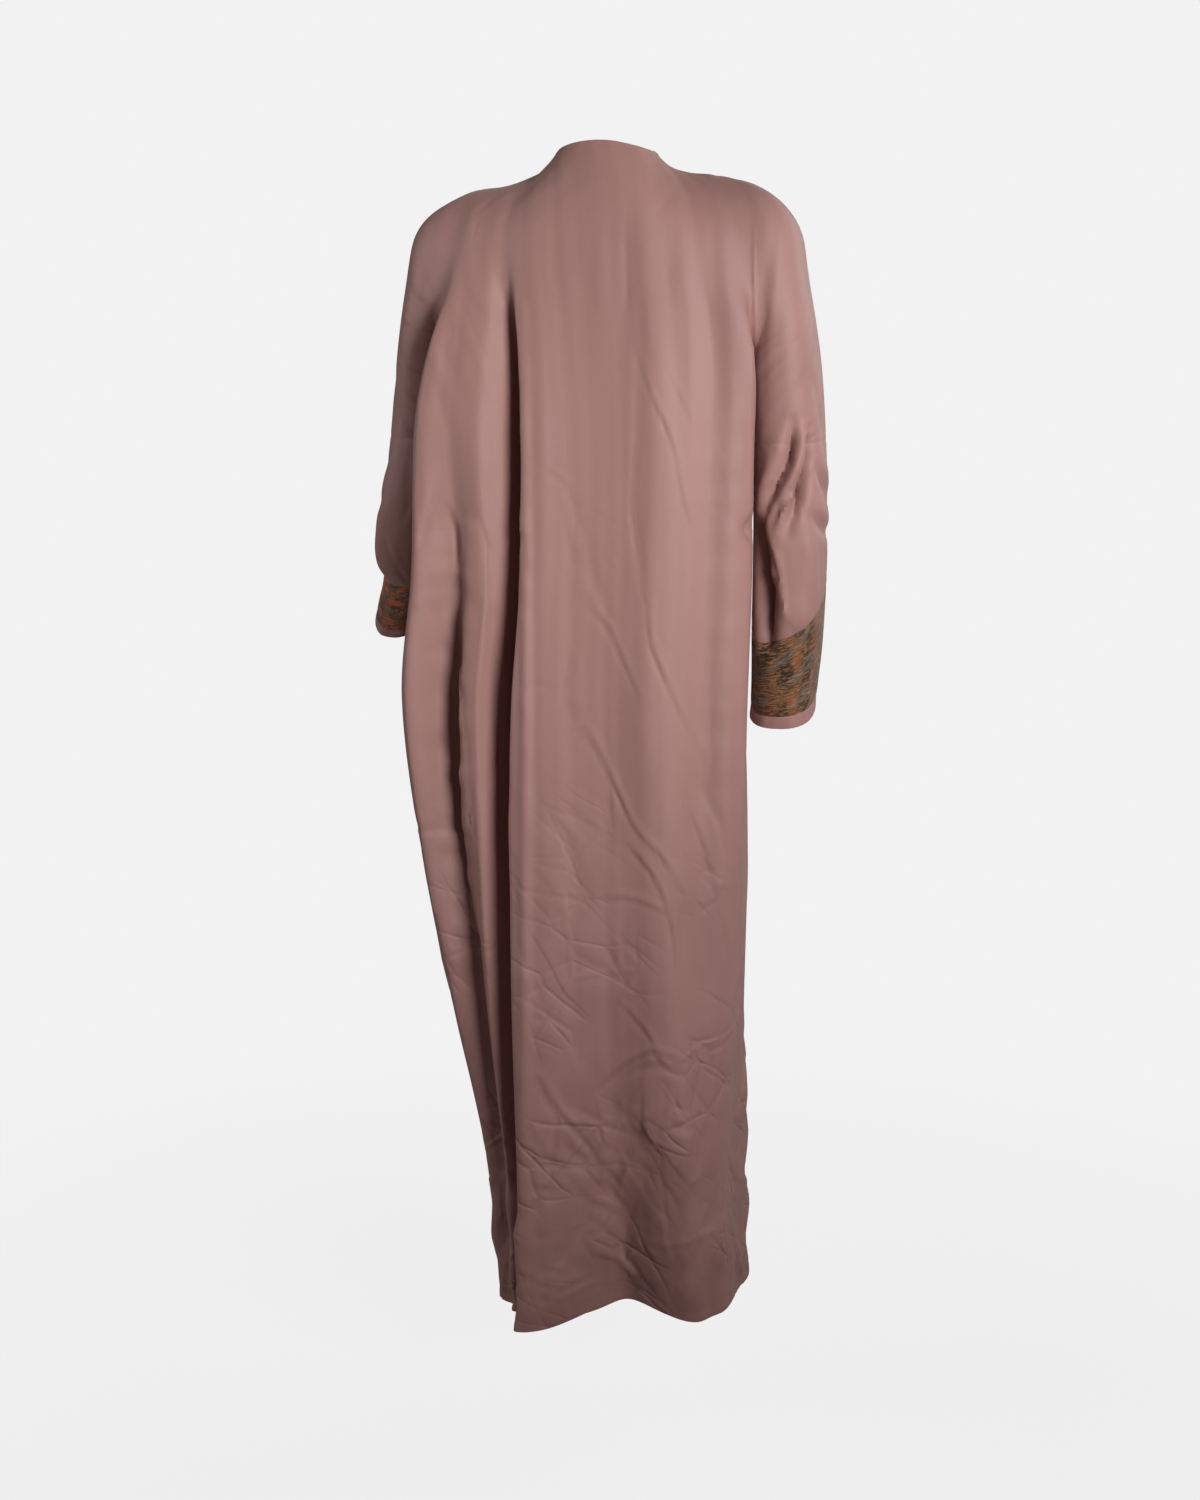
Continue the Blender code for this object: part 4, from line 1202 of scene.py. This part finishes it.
def weave_chart(piece_name):
    """Place of each face corner on the flat cloth, in metres."""
    charts = []
    start = 0.0
    for index, grid in enumerate(NUMBERED[piece_name]):
        spots = cloth[grid]
        around = np.linalg.norm(np.diff(spots, axis=1), axis=2)
        u = np.concatenate([np.zeros((len(grid), 1)), np.cumsum(around, axis=1)], axis=1)
        if piece_name == "back":
            middle = BACK_MIDDLE[index]
            u -= u[:, middle : middle + 1]
        elif piece_name.startswith("front"):
            u -= u[:, -1:]
        else:
            middle = grid.shape[1] // 2
            whole = u[:, -1:]
            u[:, middle + 1 :] -= whole
        down = np.linalg.norm(np.diff(spots, axis=0), axis=2).mean(axis=1)
        v = start - np.concatenate([[0.0], np.cumsum(down)])
        start = v[-1]
        v = np.repeat(v[:, None], grid.shape[1], axis=1)
        corners = np.stack([u, v], axis=-1)
        cells = [corners[:-1, :-1], corners[1:, :-1], corners[1:, 1:], corners[:-1, 1:]]
        cells = np.stack(cells, axis=2).reshape(-1, 4, 2)
        if not piece_name.startswith(("back", "front")):
            columns = grid.shape[1] - 1
            middle = columns // 2
            seam = np.arange(len(cells)) % columns == middle
            jump = cells[seam][:, :, 0]
            jump[jump > 0] -= np.repeat(whole[:-1].max(), (jump > 0).sum())
            cells[seam, :, 0] = jump
        charts.append(cells)
    charts = np.concatenate(charts)
    return charts[:, ::-1] if piece_name in FLIPPED else charts


def cut_piece(piece_name):
    """One piece of the cloth as an object with thickness."""
    faces = FACES[piece_name]
    numbers = np.unique(faces)
    local = np.full(len(cloth), -1)
    local[numbers] = np.arange(len(numbers))
    data = bpy.data.meshes.new(piece_name + "_cloth")
    data.from_pydata(cloth[numbers].tolist(), [], local[faces].tolist())
    chart = data.uv_layers.new(name="cloth")
    chart.data.foreach_set("uv", weave_chart(piece_name).astype(np.float32).ravel())
    piece = bpy.data.objects.new(piece_name + "_cloth", data)
    bpy.context.scene.collection.objects.link(piece)
    only(piece)
    wall = piece.modifiers.new("thickness", "SOLIDIFY")
    wall.thickness = CLOTH_THICKNESS
    wall.offset = -1.0
    inside = piece.vertex_groups.new(name="inside")
    wall.shell_vertex_group = inside.name
    bpy.ops.object.modifier_apply(modifier=wall.name)
    if len(data.polygons) > MOST_FACES:
        coarser = piece.modifiers.new("coarser_inside", "DECIMATE")
        coarser.ratio = MOST_FACES / len(data.polygons)
        coarser.vertex_group = inside.name
        bpy.ops.object.modifier_apply(modifier=coarser.name)
    bpy.ops.object.shade_smooth_by_angle(angle=SMOOTH_BELOW)
    return piece


PIECES = {piece_name: cut_piece(piece_name) for piece_name in FACES}
for piece_name, piece in PIECES.items():
    print(piece.name, "faces:", len(piece.data.polygons))

# %% [markdown]
# ## Stitches
#
# Sewing is drawn with thread, not with paint: each stitch is a short rounded bar half sunk in
# the cloth. The bars are laid out one by one along the row, a little uneven in turn and length.

# %% Rows of stitches
STITCH_LENGTH = 2.6
STITCH_SPACING = 3.5
THREAD_RADIUS = 0.26
BAR_SIDES = 5
BAR_RINGS = (
    # place along the stitch, thickness and height over the cloth in thread radii
    (-0.5, 0.35, -1.2),
    (-0.32, 1.0, 0.35),
    (0.32, 1.0, 0.35),
    (0.5, 0.35, -1.2),
)
WOBBLE_PLACES = (400, 900)
WOBBLE_TURN = 0.06
WOBBLE_LENGTH = 0.12


def grid_line(grid, inset, across):
    """Points of the cloth at a distance from the last row, or from the last column, of a grid."""
    if across:
        grid = grid.T
    line = []
    for column in range(grid.shape[1]):
        numbers = grid[::-1, column]
        left = inset * MM
        for first, second in zip(numbers, numbers[1:]):
            step = np.linalg.norm(cloth[second] - cloth[first])
            if step >= left:
                share = left / step
                spot = cloth[first] + (cloth[second] - cloth[first]) * share
                line.append((spot, direction[first]))
                break
            left -= step
    return line


def stitch_bar(outline, faces, place, along, out, length):
    """Adds one stitch to the lists of points and faces."""
    beside = along.cross(out).normalized()
    out = beside.cross(along).normalized()
    base = len(outline)
    radius = THREAD_RADIUS * MM
    for share, size, height in BAR_RINGS:
        middle = place + along * share * length + out * radius * height
        for corner in range(BAR_SIDES):
            turn = 2 * math.pi * corner / BAR_SIDES
            offset = (beside * math.cos(turn) + out * math.sin(turn)) * radius * size
            outline.append(middle + offset)
    for ring_number in range(len(BAR_RINGS) - 1):
        for corner in range(BAR_SIDES):
            first = base + ring_number * BAR_SIDES + corner
            second = base + ring_number * BAR_SIDES + (corner + 1) % BAR_SIDES
            faces.append((first, first + BAR_SIDES, second + BAR_SIDES, second))
    faces.append(tuple(base + corner for corner in range(BAR_SIDES)))
    last = len(outline) - 1
    faces.append(tuple(last - corner for corner in range(BAR_SIDES)))


def stitch_row(name, lines):
    """An object with the stitches along some lines of places and outward directions."""
    outline = []
    faces = []
    for line in lines:
        spots = [Vector(spot) for spot, _ in line]
        outs = [Vector(out) for _, out in line]
        travelled = 0.0
        due = STITCH_SPACING * MM * 0.5
        for index, (a, b) in enumerate(zip(spots, spots[1:])):
            run = (b - a).length
            while due < travelled + run:
                share = (due - travelled) / run
                wobble = noise.noise(a * WOBBLE_PLACES[0] + Vector((due * WOBBLE_PLACES[1], 0, 0)))
                out = outs[index].lerp(outs[index + 1], share).normalized()
                aslant = out.cross(b - a).normalized() * WOBBLE_TURN * wobble
                along = ((b - a).normalized() + aslant).normalized()
                length = STITCH_LENGTH * MM * (1 + WOBBLE_LENGTH * wobble)
                stitch_bar(outline, faces, a.lerp(b, share), along, out, length)
                due += STITCH_SPACING * MM
            travelled += run
    data = bpy.data.meshes.new(name)
    data.from_pydata([point[:] for point in outline], [], faces)
    data.shade_smooth()
    piece = bpy.data.objects.new(name, data)
    bpy.context.scene.collection.objects.link(piece)
    only(piece)
    bpy.ops.object.mode_set(mode="EDIT")
    bpy.ops.mesh.select_all(action="SELECT")
    bpy.ops.mesh.normals_make_consistent(inside=False)
    bpy.ops.object.mode_set(mode="OBJECT")
    return piece


hem_pieces = ("back", "front_left", "front_right")
hem_lines = [grid_line(NUMBERED[name][-1], HEM_FOLD, False) for name in hem_pieces]
STITCHES = {"hem": stitch_row("hem_stitches", hem_lines)}
for side in ("left", "right"):
    upper, lower = NUMBERED["front_" + side]
    edge_grid = np.concatenate([upper[:, -lower.shape[1] :], lower[1:]])
    edge_line = grid_line(edge_grid, EDGE_FOLD, True)
    STITCHES["edge_" + side] = stitch_row("front_stitches_" + side, [edge_line])
    band_line = grid_line(NUMBERED["cuff_band_" + side][0], BAND_FOLD, False)
    STITCHES["band_" + side] = stitch_row("cuff_stitches_" + side, [band_line])
neck_start, neck_stop = neck_columns()
neck_grid = NUMBERED["back"][0][:, neck_start : neck_stop + 1][::-1]
STITCHES["neck"] = stitch_row("neck_stitches", [grid_line(neck_grid, NECK_FOLD, False)])
for name, piece in STITCHES.items():
    print(name, "stitches:", len(piece.data.polygons) // (3 * BAR_SIDES + 2))

# %% [markdown]
# ## Finishes
#
# A finish is a small network of nodes. Written as expressions it reads like a recipe, so one
# class wraps a socket and knows how to add, multiply and compare. Every other node comes from
# one method, which sets the node up before anything is plugged in.

# %% Wires between nodes
class Wire:
    """A socket of a material's nodes that can be used in expressions."""

    def __init__(self, nodes, socket):
        self.nodes = nodes
        self.socket = socket

    def node(self, kind, inputs, output=0, **settings):
        """Adds a node: its settings first, then the values or wires of its sockets."""
        made = self.nodes.new(kind)
        for name, value in settings.items():
            setattr(made, name, value)
        for name, value in inputs.items():
            if isinstance(value, Wire):
                self.nodes.id_data.links.new(value.socket, made.inputs[name])
            else:
                made.inputs[name].default_value = value
        return Wire(self.nodes, made.outputs[output])

    def math(self, operation, first, second=0.0, third=0.0):
        """One Math node."""
        return self.node("ShaderNodeMath", {0: first, 1: second, 2: third}, operation=operation)

    def __add__(self, other):
        return self.math("ADD", self, other)

    def __radd__(self, other):
        return self.math("ADD", other, self)

    def __sub__(self, other):
        return self.math("SUBTRACT", self, other)

    def __rsub__(self, other):
        return self.math("SUBTRACT", other, self)

    def __mul__(self, other):
        return self.math("MULTIPLY", self, other)

    def __rmul__(self, other):
        return self.math("MULTIPLY", other, self)

    def __abs__(self):
        return self.math("ABSOLUTE", self)

    def wave(self):
        """Sine of the value."""
        return self.math("SINE", self)

    def part(self):
        """What is left over after the whole number."""
        return self.math("FRACT", self)

    def whole(self):
        """The whole number below the value."""
        return self.math("FLOOR", self)

    def fade(self, low, high):
        """0 below one value and 1 above the other, with a soft step between them."""
        inputs = {"Value": self, "From Min": low, "From Max": high}
        return self.node("ShaderNodeMapRange", inputs, interpolation_type="SMOOTHSTEP")

    def tint(self, colour, share):
        """This colour turned into another one by a share."""
        inputs = {"Factor": share, "A": self, "B": colour}
        return self.node("ShaderNodeMix", inputs, output=2, data_type="RGBA")


# %% Start of a finish
def start_finish(name):
    """A new material and its shader, with a wire to start from."""
    made = bpy.data.materials.new(name)
    made.use_nodes = True
    nodes = made.node_tree.nodes
    shader = nodes["Principled BSDF"]
    return made, shader, Wire(nodes, None)


def plug(wire, shader, name):
    """Joins a wire to one of the shader's sockets."""
    wire.nodes.id_data.links.new(wire.socket, shader.inputs[name])


def start_colour(wire, value):
    """A wire with one colour."""
    colour = wire.node("ShaderNodeRGB", {})
    colour.socket.default_value = value
    return colour


def axes_of(place):
    """The first two numbers of a place, each as a wire."""
    first = place.node("ShaderNodeSeparateXYZ", {"Vector": place})
    return first, Wire(first.nodes, first.socket.node.outputs[1])


def flat_cloth(wire):
    """Place on the flat cloth in metres."""
    return wire.node("ShaderNodeUVMap", {}, uv_map="cloth")


def cloth_noise(wire, across, down, detail, output=0):
    """Noise on the flat cloth, with its waves per metre across and down."""
    place = {"Vector": flat_cloth(wire), "Scale": (across, down, 1.0)}
    inputs = {"Vector": wire.node("ShaderNodeMapping", place), "Scale": 1.0, "Detail": detail}
    return wire.node("ShaderNodeTexNoise", inputs, output=output)


def cloth_cells(wire, across, down, turn, bends, bend_depth, detail=2.0, start=(0, 0, 0)):
    """Place on the flat cloth in cells of a size and turn, whose lines bend a little."""
    bend = cloth_noise(wire, bends, bends, detail, output=1)
    inputs = {0: bend, 1: (bend_depth, bend_depth, 0.0), 2: flat_cloth(wire)}
    bent = wire.node("ShaderNodeVectorMath", inputs, operation="MULTIPLY_ADD")
    turned = {"Vector": bent, "Location": start, "Rotation": (0, 0, math.radians(turn))}
    turned["Scale"] = (1 / across, 1 / down, 1.0)
    return wire.node("ShaderNodeMapping", turned, vector_type="TEXTURE")


def add_bump(wire, height, strength, distance, below=None):
    """Relief of the surface, on top of another one where it is given."""
    inputs = {"Height": height, "Strength": strength, "Distance": distance}
    if below is not None:
        inputs["Normal"] = below
    return wire.node("ShaderNodeBump", inputs)


print("finish tools ready")

# %% [markdown]
# ## Satin crepe
#
# The body cloth is a dusty rose satin with a crepe back: smooth, with a soft gloss and no mirror
# shine. Close up it shows fine slanting threads and a slight pebble. The tone drifts a little,
# because satin never takes its dye quite evenly. Sheen stands for the fibres that catch light
# at a slant. Soft runs down the cloth, and marks of handling too small for the mesh, are bumps.

# %% Satin finish
SATIN_ROSE = (0.335, 0.176, 0.158, 1.0)
SATIN_DEEP = (0.270, 0.140, 0.128, 1.0)
SATIN_PALE = (0.375, 0.210, 0.194, 1.0)
SATIN_SHEEN = (0.95, 0.78, 0.74, 1.0)
SATIN_ROUGHNESS = 0.51
DRIFT = (9, 3)
SLUB = (900, 22)
PEBBLE = (620, 372)
TWILL_PER_METRE = 1400
TWILL_SLANT = 0.6
HANDLED = (70, 45)
RUNS = (30, 0.9)
RUN_DEPTH = 0.0042
# crumples: waves per metre of their patches, height between which they thin out, share above it
CRUMPLE_PATCHES = 7
CRUMPLE_FROM = (-1.25, -0.65)
CRUMPLE_ABOVE = 0.05
CRUMPLE_BENDS = 11
CRUMPLE_BEND_DEPTH = 0.014
CRUMPLES = (
    # cells per metre across and along, turn in degrees, reach of the line beside a fold as a share
    # of a cell, height of the line in metres, rise of the facets in metres for each cell
    (15, 5, 36, 0.05, -0.0012, 0.0050),
    (11, 6, -29, 0.05, 0.0012, 0.0050),
    (24, 12, 64, 0.08, -0.0009, 0.0040),
)


def crumple(wire, across, down, turn, reach, depth, rise):
    """Height of facets with straight folds between them, as in cloth that was packed."""
    cells = cloth_cells(wire, across, down, turn, CRUMPLE_BENDS, CRUMPLE_BEND_DEPTH)
    inputs = {"Vector": cells, "Scale": 1.0}
    edge = wire.node("ShaderNodeTexVoronoi", inputs, feature="DISTANCE_TO_EDGE")
    return edge * rise + (1 - edge.fade(0.0, reach)) * depth


def satin_finish(name):
    """Dusty rose satin crepe."""
    made, shader, wire = start_finish(name)
    drift = cloth_noise(wire, *DRIFT, 3.0)
    slub = cloth_noise(wire, *SLUB, 2.0)
    colour = start_colour(wire, SATIN_ROSE)
    colour = colour.tint(SATIN_DEEP, drift.fade(0.42, 0.72) * 0.45)
    colour = colour.tint(SATIN_PALE, slub.fade(0.5, 0.8) * 0.22)
    plug(colour, shader, "Base Color")
    pebble = cloth_noise(wire, *PEBBLE, 3.0)
    plug(pebble * 0.10 + SATIN_ROUGHNESS, shader, "Roughness")
    across, down = axes_of(flat_cloth(wire))
    twill = ((across + down * TWILL_SLANT) * (TWILL_PER_METRE * 2 * math.pi)).wave()
    height = pebble * 0.5 + twill * 0.12 + cloth_noise(wire, *HANDLED, 4.0) * 1.6
    weave = add_bump(wire, height, 0.28, 0.0006)
    patches = cloth_noise(wire, CRUMPLE_PATCHES, CRUMPLE_PATCHES, 1.0)
    low = 1 - down.fade(*CRUMPLE_FROM)
    shown = patches.fade(0.40, 0.62) * (low * (1 - CRUMPLE_ABOVE) + CRUMPLE_ABOVE)
    creases = sum(crumple(wire, *row) for row in CRUMPLES) * shown
    runs = cloth_noise(wire, *RUNS, 1.0) * RUN_DEPTH
    plug(add_bump(wire, creases + runs, 1.0, 1.0, weave), shader, "Normal")
    shader.inputs["Sheen Weight"].default_value = 0.22
    shader.inputs["Sheen Roughness"].default_value = 0.4
    shader.inputs["Sheen Tint"].default_value = SATIN_SHEEN
    shader.inputs["Specular IOR Level"].default_value = 0.36
    return made


SATIN = satin_finish("satin_crepe")
print(SATIN.name, "nodes:", len(SATIN.node_tree.nodes))

# %% [markdown]
# ## Brocade
#
# The cuffs are of a woven brocade: bronze, orange red, grey blue and cream leaves on dark brown.
# The leaves here are a plain drawing of their own. Each layer is a field of pointed leaves in
# rows, turned and spread in its own way, with fine veins. Orange spots lie mostly on the left
# cuff, and each cuff has its own share of the leaves. Weft threads run over all of it.

# %% Brocade finish
GROUND = (0.022, 0.012, 0.008, 1.0)
BRONZE = (0.190, 0.082, 0.034, 1.0)
# gold thread colour, made lighter as a painted glint of metal thread
GOLD_THREAD_GLINT = (0.400, 0.235, 0.110, 1.0)
EMBER = (0.780, 0.110, 0.014, 1.0)
SHADOW_THREAD = (0.012, 0.007, 0.005, 1.0)
LEAVES = (
    # colour, vein colour, leaves per metre across and down, turn in degrees, width, shift,
    # share of them on the left and on the right cuff
    ((0.225, 0.100, 0.040, 1.0), (0.055, 0.025, 0.012, 1.0), 30, 15, 28, 0.36, 0.00, 0.8, 1.0),
    ((0.050, 0.026, 0.014, 1.0), (0.170, 0.090, 0.040, 1.0), 36, 19, -42, 0.30, 0.37, 1.0, 0.9),
    ((0.082, 0.090, 0.098, 1.0), (0.210, 0.200, 0.175, 1.0), 25, 13, 61, 0.26, 0.61, 0.3, 0.75),
    ((0.400, 0.082, 0.018, 1.0), (0.130, 0.034, 0.012, 1.0), 33, 17, -16, 0.27, 0.83, 1.0, 0.3),
    ((0.330, 0.235, 0.140, 1.0), (0.150, 0.090, 0.050, 1.0), 47, 19, 76, 0.09, 0.19, 0.5, 0.8),
)
VEINS = 9
LEAF_BENDS = 34
LEAF_BEND_DEPTH = 0.026
CUFF_SIDES = (-0.1, 0.1)
# noises, as waves per metre across and down: bronze shots, orange spots, gold flecks with a painted
# glint
SHOTS = (42, 20)
EMBERS = (30, 60)
GLINTS = (90, 620)
WEFT_PER_METRE = 900
HATCH_PER_METRE = 420
HATCH_SLANT = 0.12
HATCH_SWAYS = 50
HATCH_SWAY_DEPTH = 0.012


def leaf_layer(wire, across, down, turn, width, shift):
    """Masks of one field of leaves, and of the veins on them."""
    start = (shift * 7, shift * 13, 0)
    cells = cloth_cells(wire, across, down, turn, LEAF_BENDS, LEAF_BEND_DEPTH, start=start)
    u, v = axes_of(cells)
    row = v.whole()
    u = u + (row * 0.5 + (row * 1.7).wave() * 0.22)
    x = abs(u.part() - 0.5)
    y = v.part() - 0.5
    edge = (1 - (y * y) * 4) * width
    leaf = (edge - x).fade(0.0, 0.05)
    vein = (abs((x * 1.3 + y) * (VEINS * 2 * math.pi)).wave()).fade(0.1, 0.9)
    rib = 1 - x.fade(0.012, 0.035)
    return leaf, leaf * (vein * 0.6 + rib * 0.5)


def brocade_finish(name):
    """Woven brocade with leaves."""
    made, shader, wire = start_finish(name)
    side = axes_of(wire.node("ShaderNodeTexCoord", {}, output=3))[0]
    left_cuff = side.fade(*CUFF_SIDES)
    colour = start_colour(wire, GROUND)
    colour = colour.tint(BRONZE, cloth_noise(wire, *SHOTS, 6.0).fade(0.47, 0.56))
    ember = cloth_noise(wire, *EMBERS, 4.0).fade(0.46, 0.56)
    colour = colour.tint(EMBER, ember * (left_cuff * 0.85 + 0.05))
    layers = []
    for leaf_colour, vein_colour, across, *form, on_left, on_right in LEAVES:
        leaf, veins = leaf_layer(wire, across, *form)
        worn = cloth_noise(wire, 60 + across, 240, 4.0)
        share = left_cuff * (on_left - on_right) + on_right
        shown = leaf * worn.fade(0.42, 0.54) * share
        colour = colour.tint(leaf_colour, shown)
        colour = colour.tint(vein_colour, veins * shown * 0.8)
        layers.append(shown)
    relief = sum(layers)
    threads, down = axes_of(flat_cloth(wire))
    weft = (down * (WEFT_PER_METRE * 2 * math.pi)).wave()
    warp = (threads * (WEFT_PER_METRE * 2 * math.pi)).wave()
    sway = cloth_noise(wire, HATCH_SWAYS, HATCH_SWAYS, 2.0) * HATCH_SWAY_DEPTH
    hatch = ((threads * HATCH_SLANT + down + sway) * (HATCH_PER_METRE * 2 * math.pi)).wave()
    dark = weft.fade(0.0, 1.0) * 0.15 + hatch.fade(-0.2, 0.9) * 0.42
    colour = colour.tint(SHADOW_THREAD, dark)
    # gold flecks: the colour of gold thread, painted lighter as a painted glint where the metal
    # thread catches light
    colour = colour.tint(GOLD_THREAD_GLINT, cloth_noise(wire, *GLINTS, 3.0).fade(0.52, 0.64) * 0.6)
    plug(colour, shader, "Base Color")
    plug(0.56 - relief * 0.06, shader, "Roughness")
    plug(add_bump(wire, relief * 0.5 + weft * warp * 0.35, 0.35, 0.0005), shader, "Normal")
    shader.inputs["Sheen Weight"].default_value = 0.15
    shader.inputs["Sheen Roughness"].default_value = 0.5
    shader.inputs["Specular IOR Level"].default_value = 0.35
    return made


BROCADE = brocade_finish("brocade")
print(BROCADE.name, "nodes:", len(BROCADE.node_tree.nodes))

# %% Thread finish
THREAD_ROSE = (0.300, 0.165, 0.150, 1.0)
TWISTS_PER_METRE = 1500


def thread_finish(name):
    """Sewing thread with its twist."""
    made, shader, wire = start_finish(name)
    place = wire.node("ShaderNodeTexCoord", {}, output=3)
    ply_place = wire.node("ShaderNodeMapping", {"Vector": place, "Scale": (TWISTS_PER_METRE,) * 3})
    ply = wire.node("ShaderNodeTexNoise", {"Vector": ply_place, "Scale": 1.0, "Detail": 1.0})
    colour = start_colour(wire, THREAD_ROSE).tint(SATIN_DEEP, ply.fade(0.4, 0.7) * 0.6)
    plug(colour, shader, "Base Color")
    plug(ply * 0.1 + 0.45, shader, "Roughness")
    plug(add_bump(wire, ply, 0.3, 0.0002), shader, "Normal")
    shader.inputs["Sheen Weight"].default_value = 0.2
    return made


THREAD = thread_finish("rose_thread")
print(THREAD.name, "nodes:", len(THREAD.node_tree.nodes))

# %% [markdown]
# ## Joining the frame
#
# Each sheet of cloth stands for its CAD node, takes its slot's finish and says how large it was
# cut. The sizes are those of a flat pattern for this cloak, with the sewing allowances left out.

# %% Cut sizes
CUT = {
    # piece: width, length, flat area
    "back": (0.84, 1.42, 0.86),
    "front_left": (0.44, 1.42, 0.40),
    "front_right": (0.44, 1.42, 0.40),
    "sleeve_left": (0.36, 0.19, 0.058),
    "sleeve_right": (0.36, 0.20, 0.064),
    "cuff_left": (0.33, 0.13, 0.036),
    "cuff_right": (0.33, 0.12, 0.036),
    "cuff_band_left": (0.31, 0.02, 0.0052),
    "cuff_band_right": (0.31, 0.02, 0.0052),
}
for piece_name, piece in PIECES.items():
    brocade = piece_name in ("cuff_left", "cuff_right")
    piece.data.materials.append(BROCADE if brocade else SATIN)
    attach(piece, "root")
    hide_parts(piece_name)
for piece in STITCHES.values():
    piece.data.materials.append(THREAD)
    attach(piece, "root")
for piece_name, (width, length, area) in CUT.items():
    piece = PIECES[piece_name]
    print(piece_name, "cut to", width, "by", length)

# %% [markdown]
# ## Stage, light and camera
#
# A pale floor that runs into a pale sky keeps the eye on the cloth. The key lamp stands level,
# to the right of the camera. Its narrow spread lets the light fall off towards the hem. A broad
# lamp on the left, and one on the right beyond the cloak, open the shadows of the folds.

# %% Floor and sky
FLOOR_Z = -1.50
FLOOR_NEAR = 0.5
FLOOR_FAR = 1.6
FLOOR_SHADED = (0.07, 0.07, 0.07, 1.0)
FLOOR_GLOW = (0.83, 0.83, 0.83, 1.0)
SKY_PALE = (0.888, 0.888, 0.888, 1.0)
SKY_LIGHT = (0.088, 0.074, 0.067, 1.0)
deselect()
bpy.ops.mesh.primitive_plane_add(size=60, location=(0, 0, FLOOR_Z))
floor = bpy.context.object
floor.name = "floor"
floor.visible_diffuse = False
floor.visible_glossy = False
paper, paper_shader, paper_wire = start_finish("floor_paper")
paper_shader.inputs["Base Color"].default_value = FLOOR_SHADED
paper_shader.inputs["Emission Color"].default_value = FLOOR_GLOW
paper_shader.inputs["Emission Strength"].default_value = 1.0
paper_shader.inputs["Roughness"].default_value = 0.9
paper_shader.inputs["Specular IOR Level"].default_value = 0.0
spot = paper_wire.node("ShaderNodeTexCoord", {}, output=3)
reach = paper_wire.node("ShaderNodeVectorMath", {0: spot}, output=1, operation="LENGTH")
plug(1 - reach.fade(FLOOR_NEAR, FLOOR_FAR), paper_shader, "Alpha")
floor.data.materials.append(paper)
sky = bpy.data.worlds.new("pale_sky")
bpy.context.scene.world = sky
sky.use_nodes = True
backdrop = sky.node_tree.nodes["Background"]
sky_wire = Wire(sky.node_tree.nodes, None)
seen = sky_wire.node("ShaderNodeLightPath", {})
plug(start_colour(sky_wire, SKY_LIGHT).tint(SKY_PALE, seen), backdrop, "Color")
print("floor at", FLOOR_Z)

# %% Camera
CAMERA_TURN = math.radians(192)
CAMERA_PITCH = math.radians(-11)
CAMERA_DISTANCE = 3.06
CAMERA_Z = -0.081
CAMERA_SIDE = -0.008
SENSOR = 36
FRAME_HEIGHT = 1500
FOCAL_PIXELS = 2580
level_back = Vector((math.sin(CAMERA_TURN), -math.cos(CAMERA_TURN), 0))
level_right = Vector((math.cos(CAMERA_TURN), math.sin(CAMERA_TURN), 0))
camera = bpy.data.objects.new("camera", bpy.data.cameras.new("camera"))
bpy.context.scene.collection.objects.link(camera)
camera.location = level_back * CAMERA_DISTANCE + level_right * CAMERA_SIDE
camera.location.z += CAMERA_Z
looking_back = level_back * math.cos(CAMERA_PITCH) + Vector((0, 0, -math.sin(CAMERA_PITCH)))
camera.rotation_euler = looking_back.to_track_quat("Z", "Y").to_euler()
camera.data.sensor_width = SENSOR
camera.data.sensor_height = SENSOR
camera.data.sensor_fit = "AUTO"
camera.data.lens = SENSOR * FOCAL_PIXELS / FRAME_HEIGHT
bpy.context.scene.camera = camera
print("lens:", round(camera.data.lens, 2))

# %% Lamps
LAMPS = (
    # name, watts, size, spread in degrees, place to the camera's right, towards the camera and
    # up, height of its aim
    ("key", 9.2, 1.1, 55, 1.32, 2.15, 0.20, -0.32),
    ("fill", 13, 1.6, 140, -2.4, 0.25, 0.2, -0.25),
    ("far_side", 15, 1.8, 140, 2.0, -1.4, 0.5, -0.30),
)
for lamp_name, watts, size, spread, right, near, up, aim_z in LAMPS:
    lamp = bpy.data.objects.new(lamp_name, bpy.data.lights.new(lamp_name, "AREA"))
    bpy.context.scene.collection.objects.link(lamp)
    lamp.data.energy = watts
    lamp.data.size = size
    lamp.data.spread = math.radians(spread)
    lamp.location = level_right * right + level_back * near + Vector((0, 0, up))
    aim = Vector((0, 0, aim_z))
    lamp.rotation_euler = (lamp.location - aim).to_track_quat("Z", "Y").to_euler()
bpy.context.scene.view_settings.view_transform = "Standard"
print("lamps:", len(LAMPS))
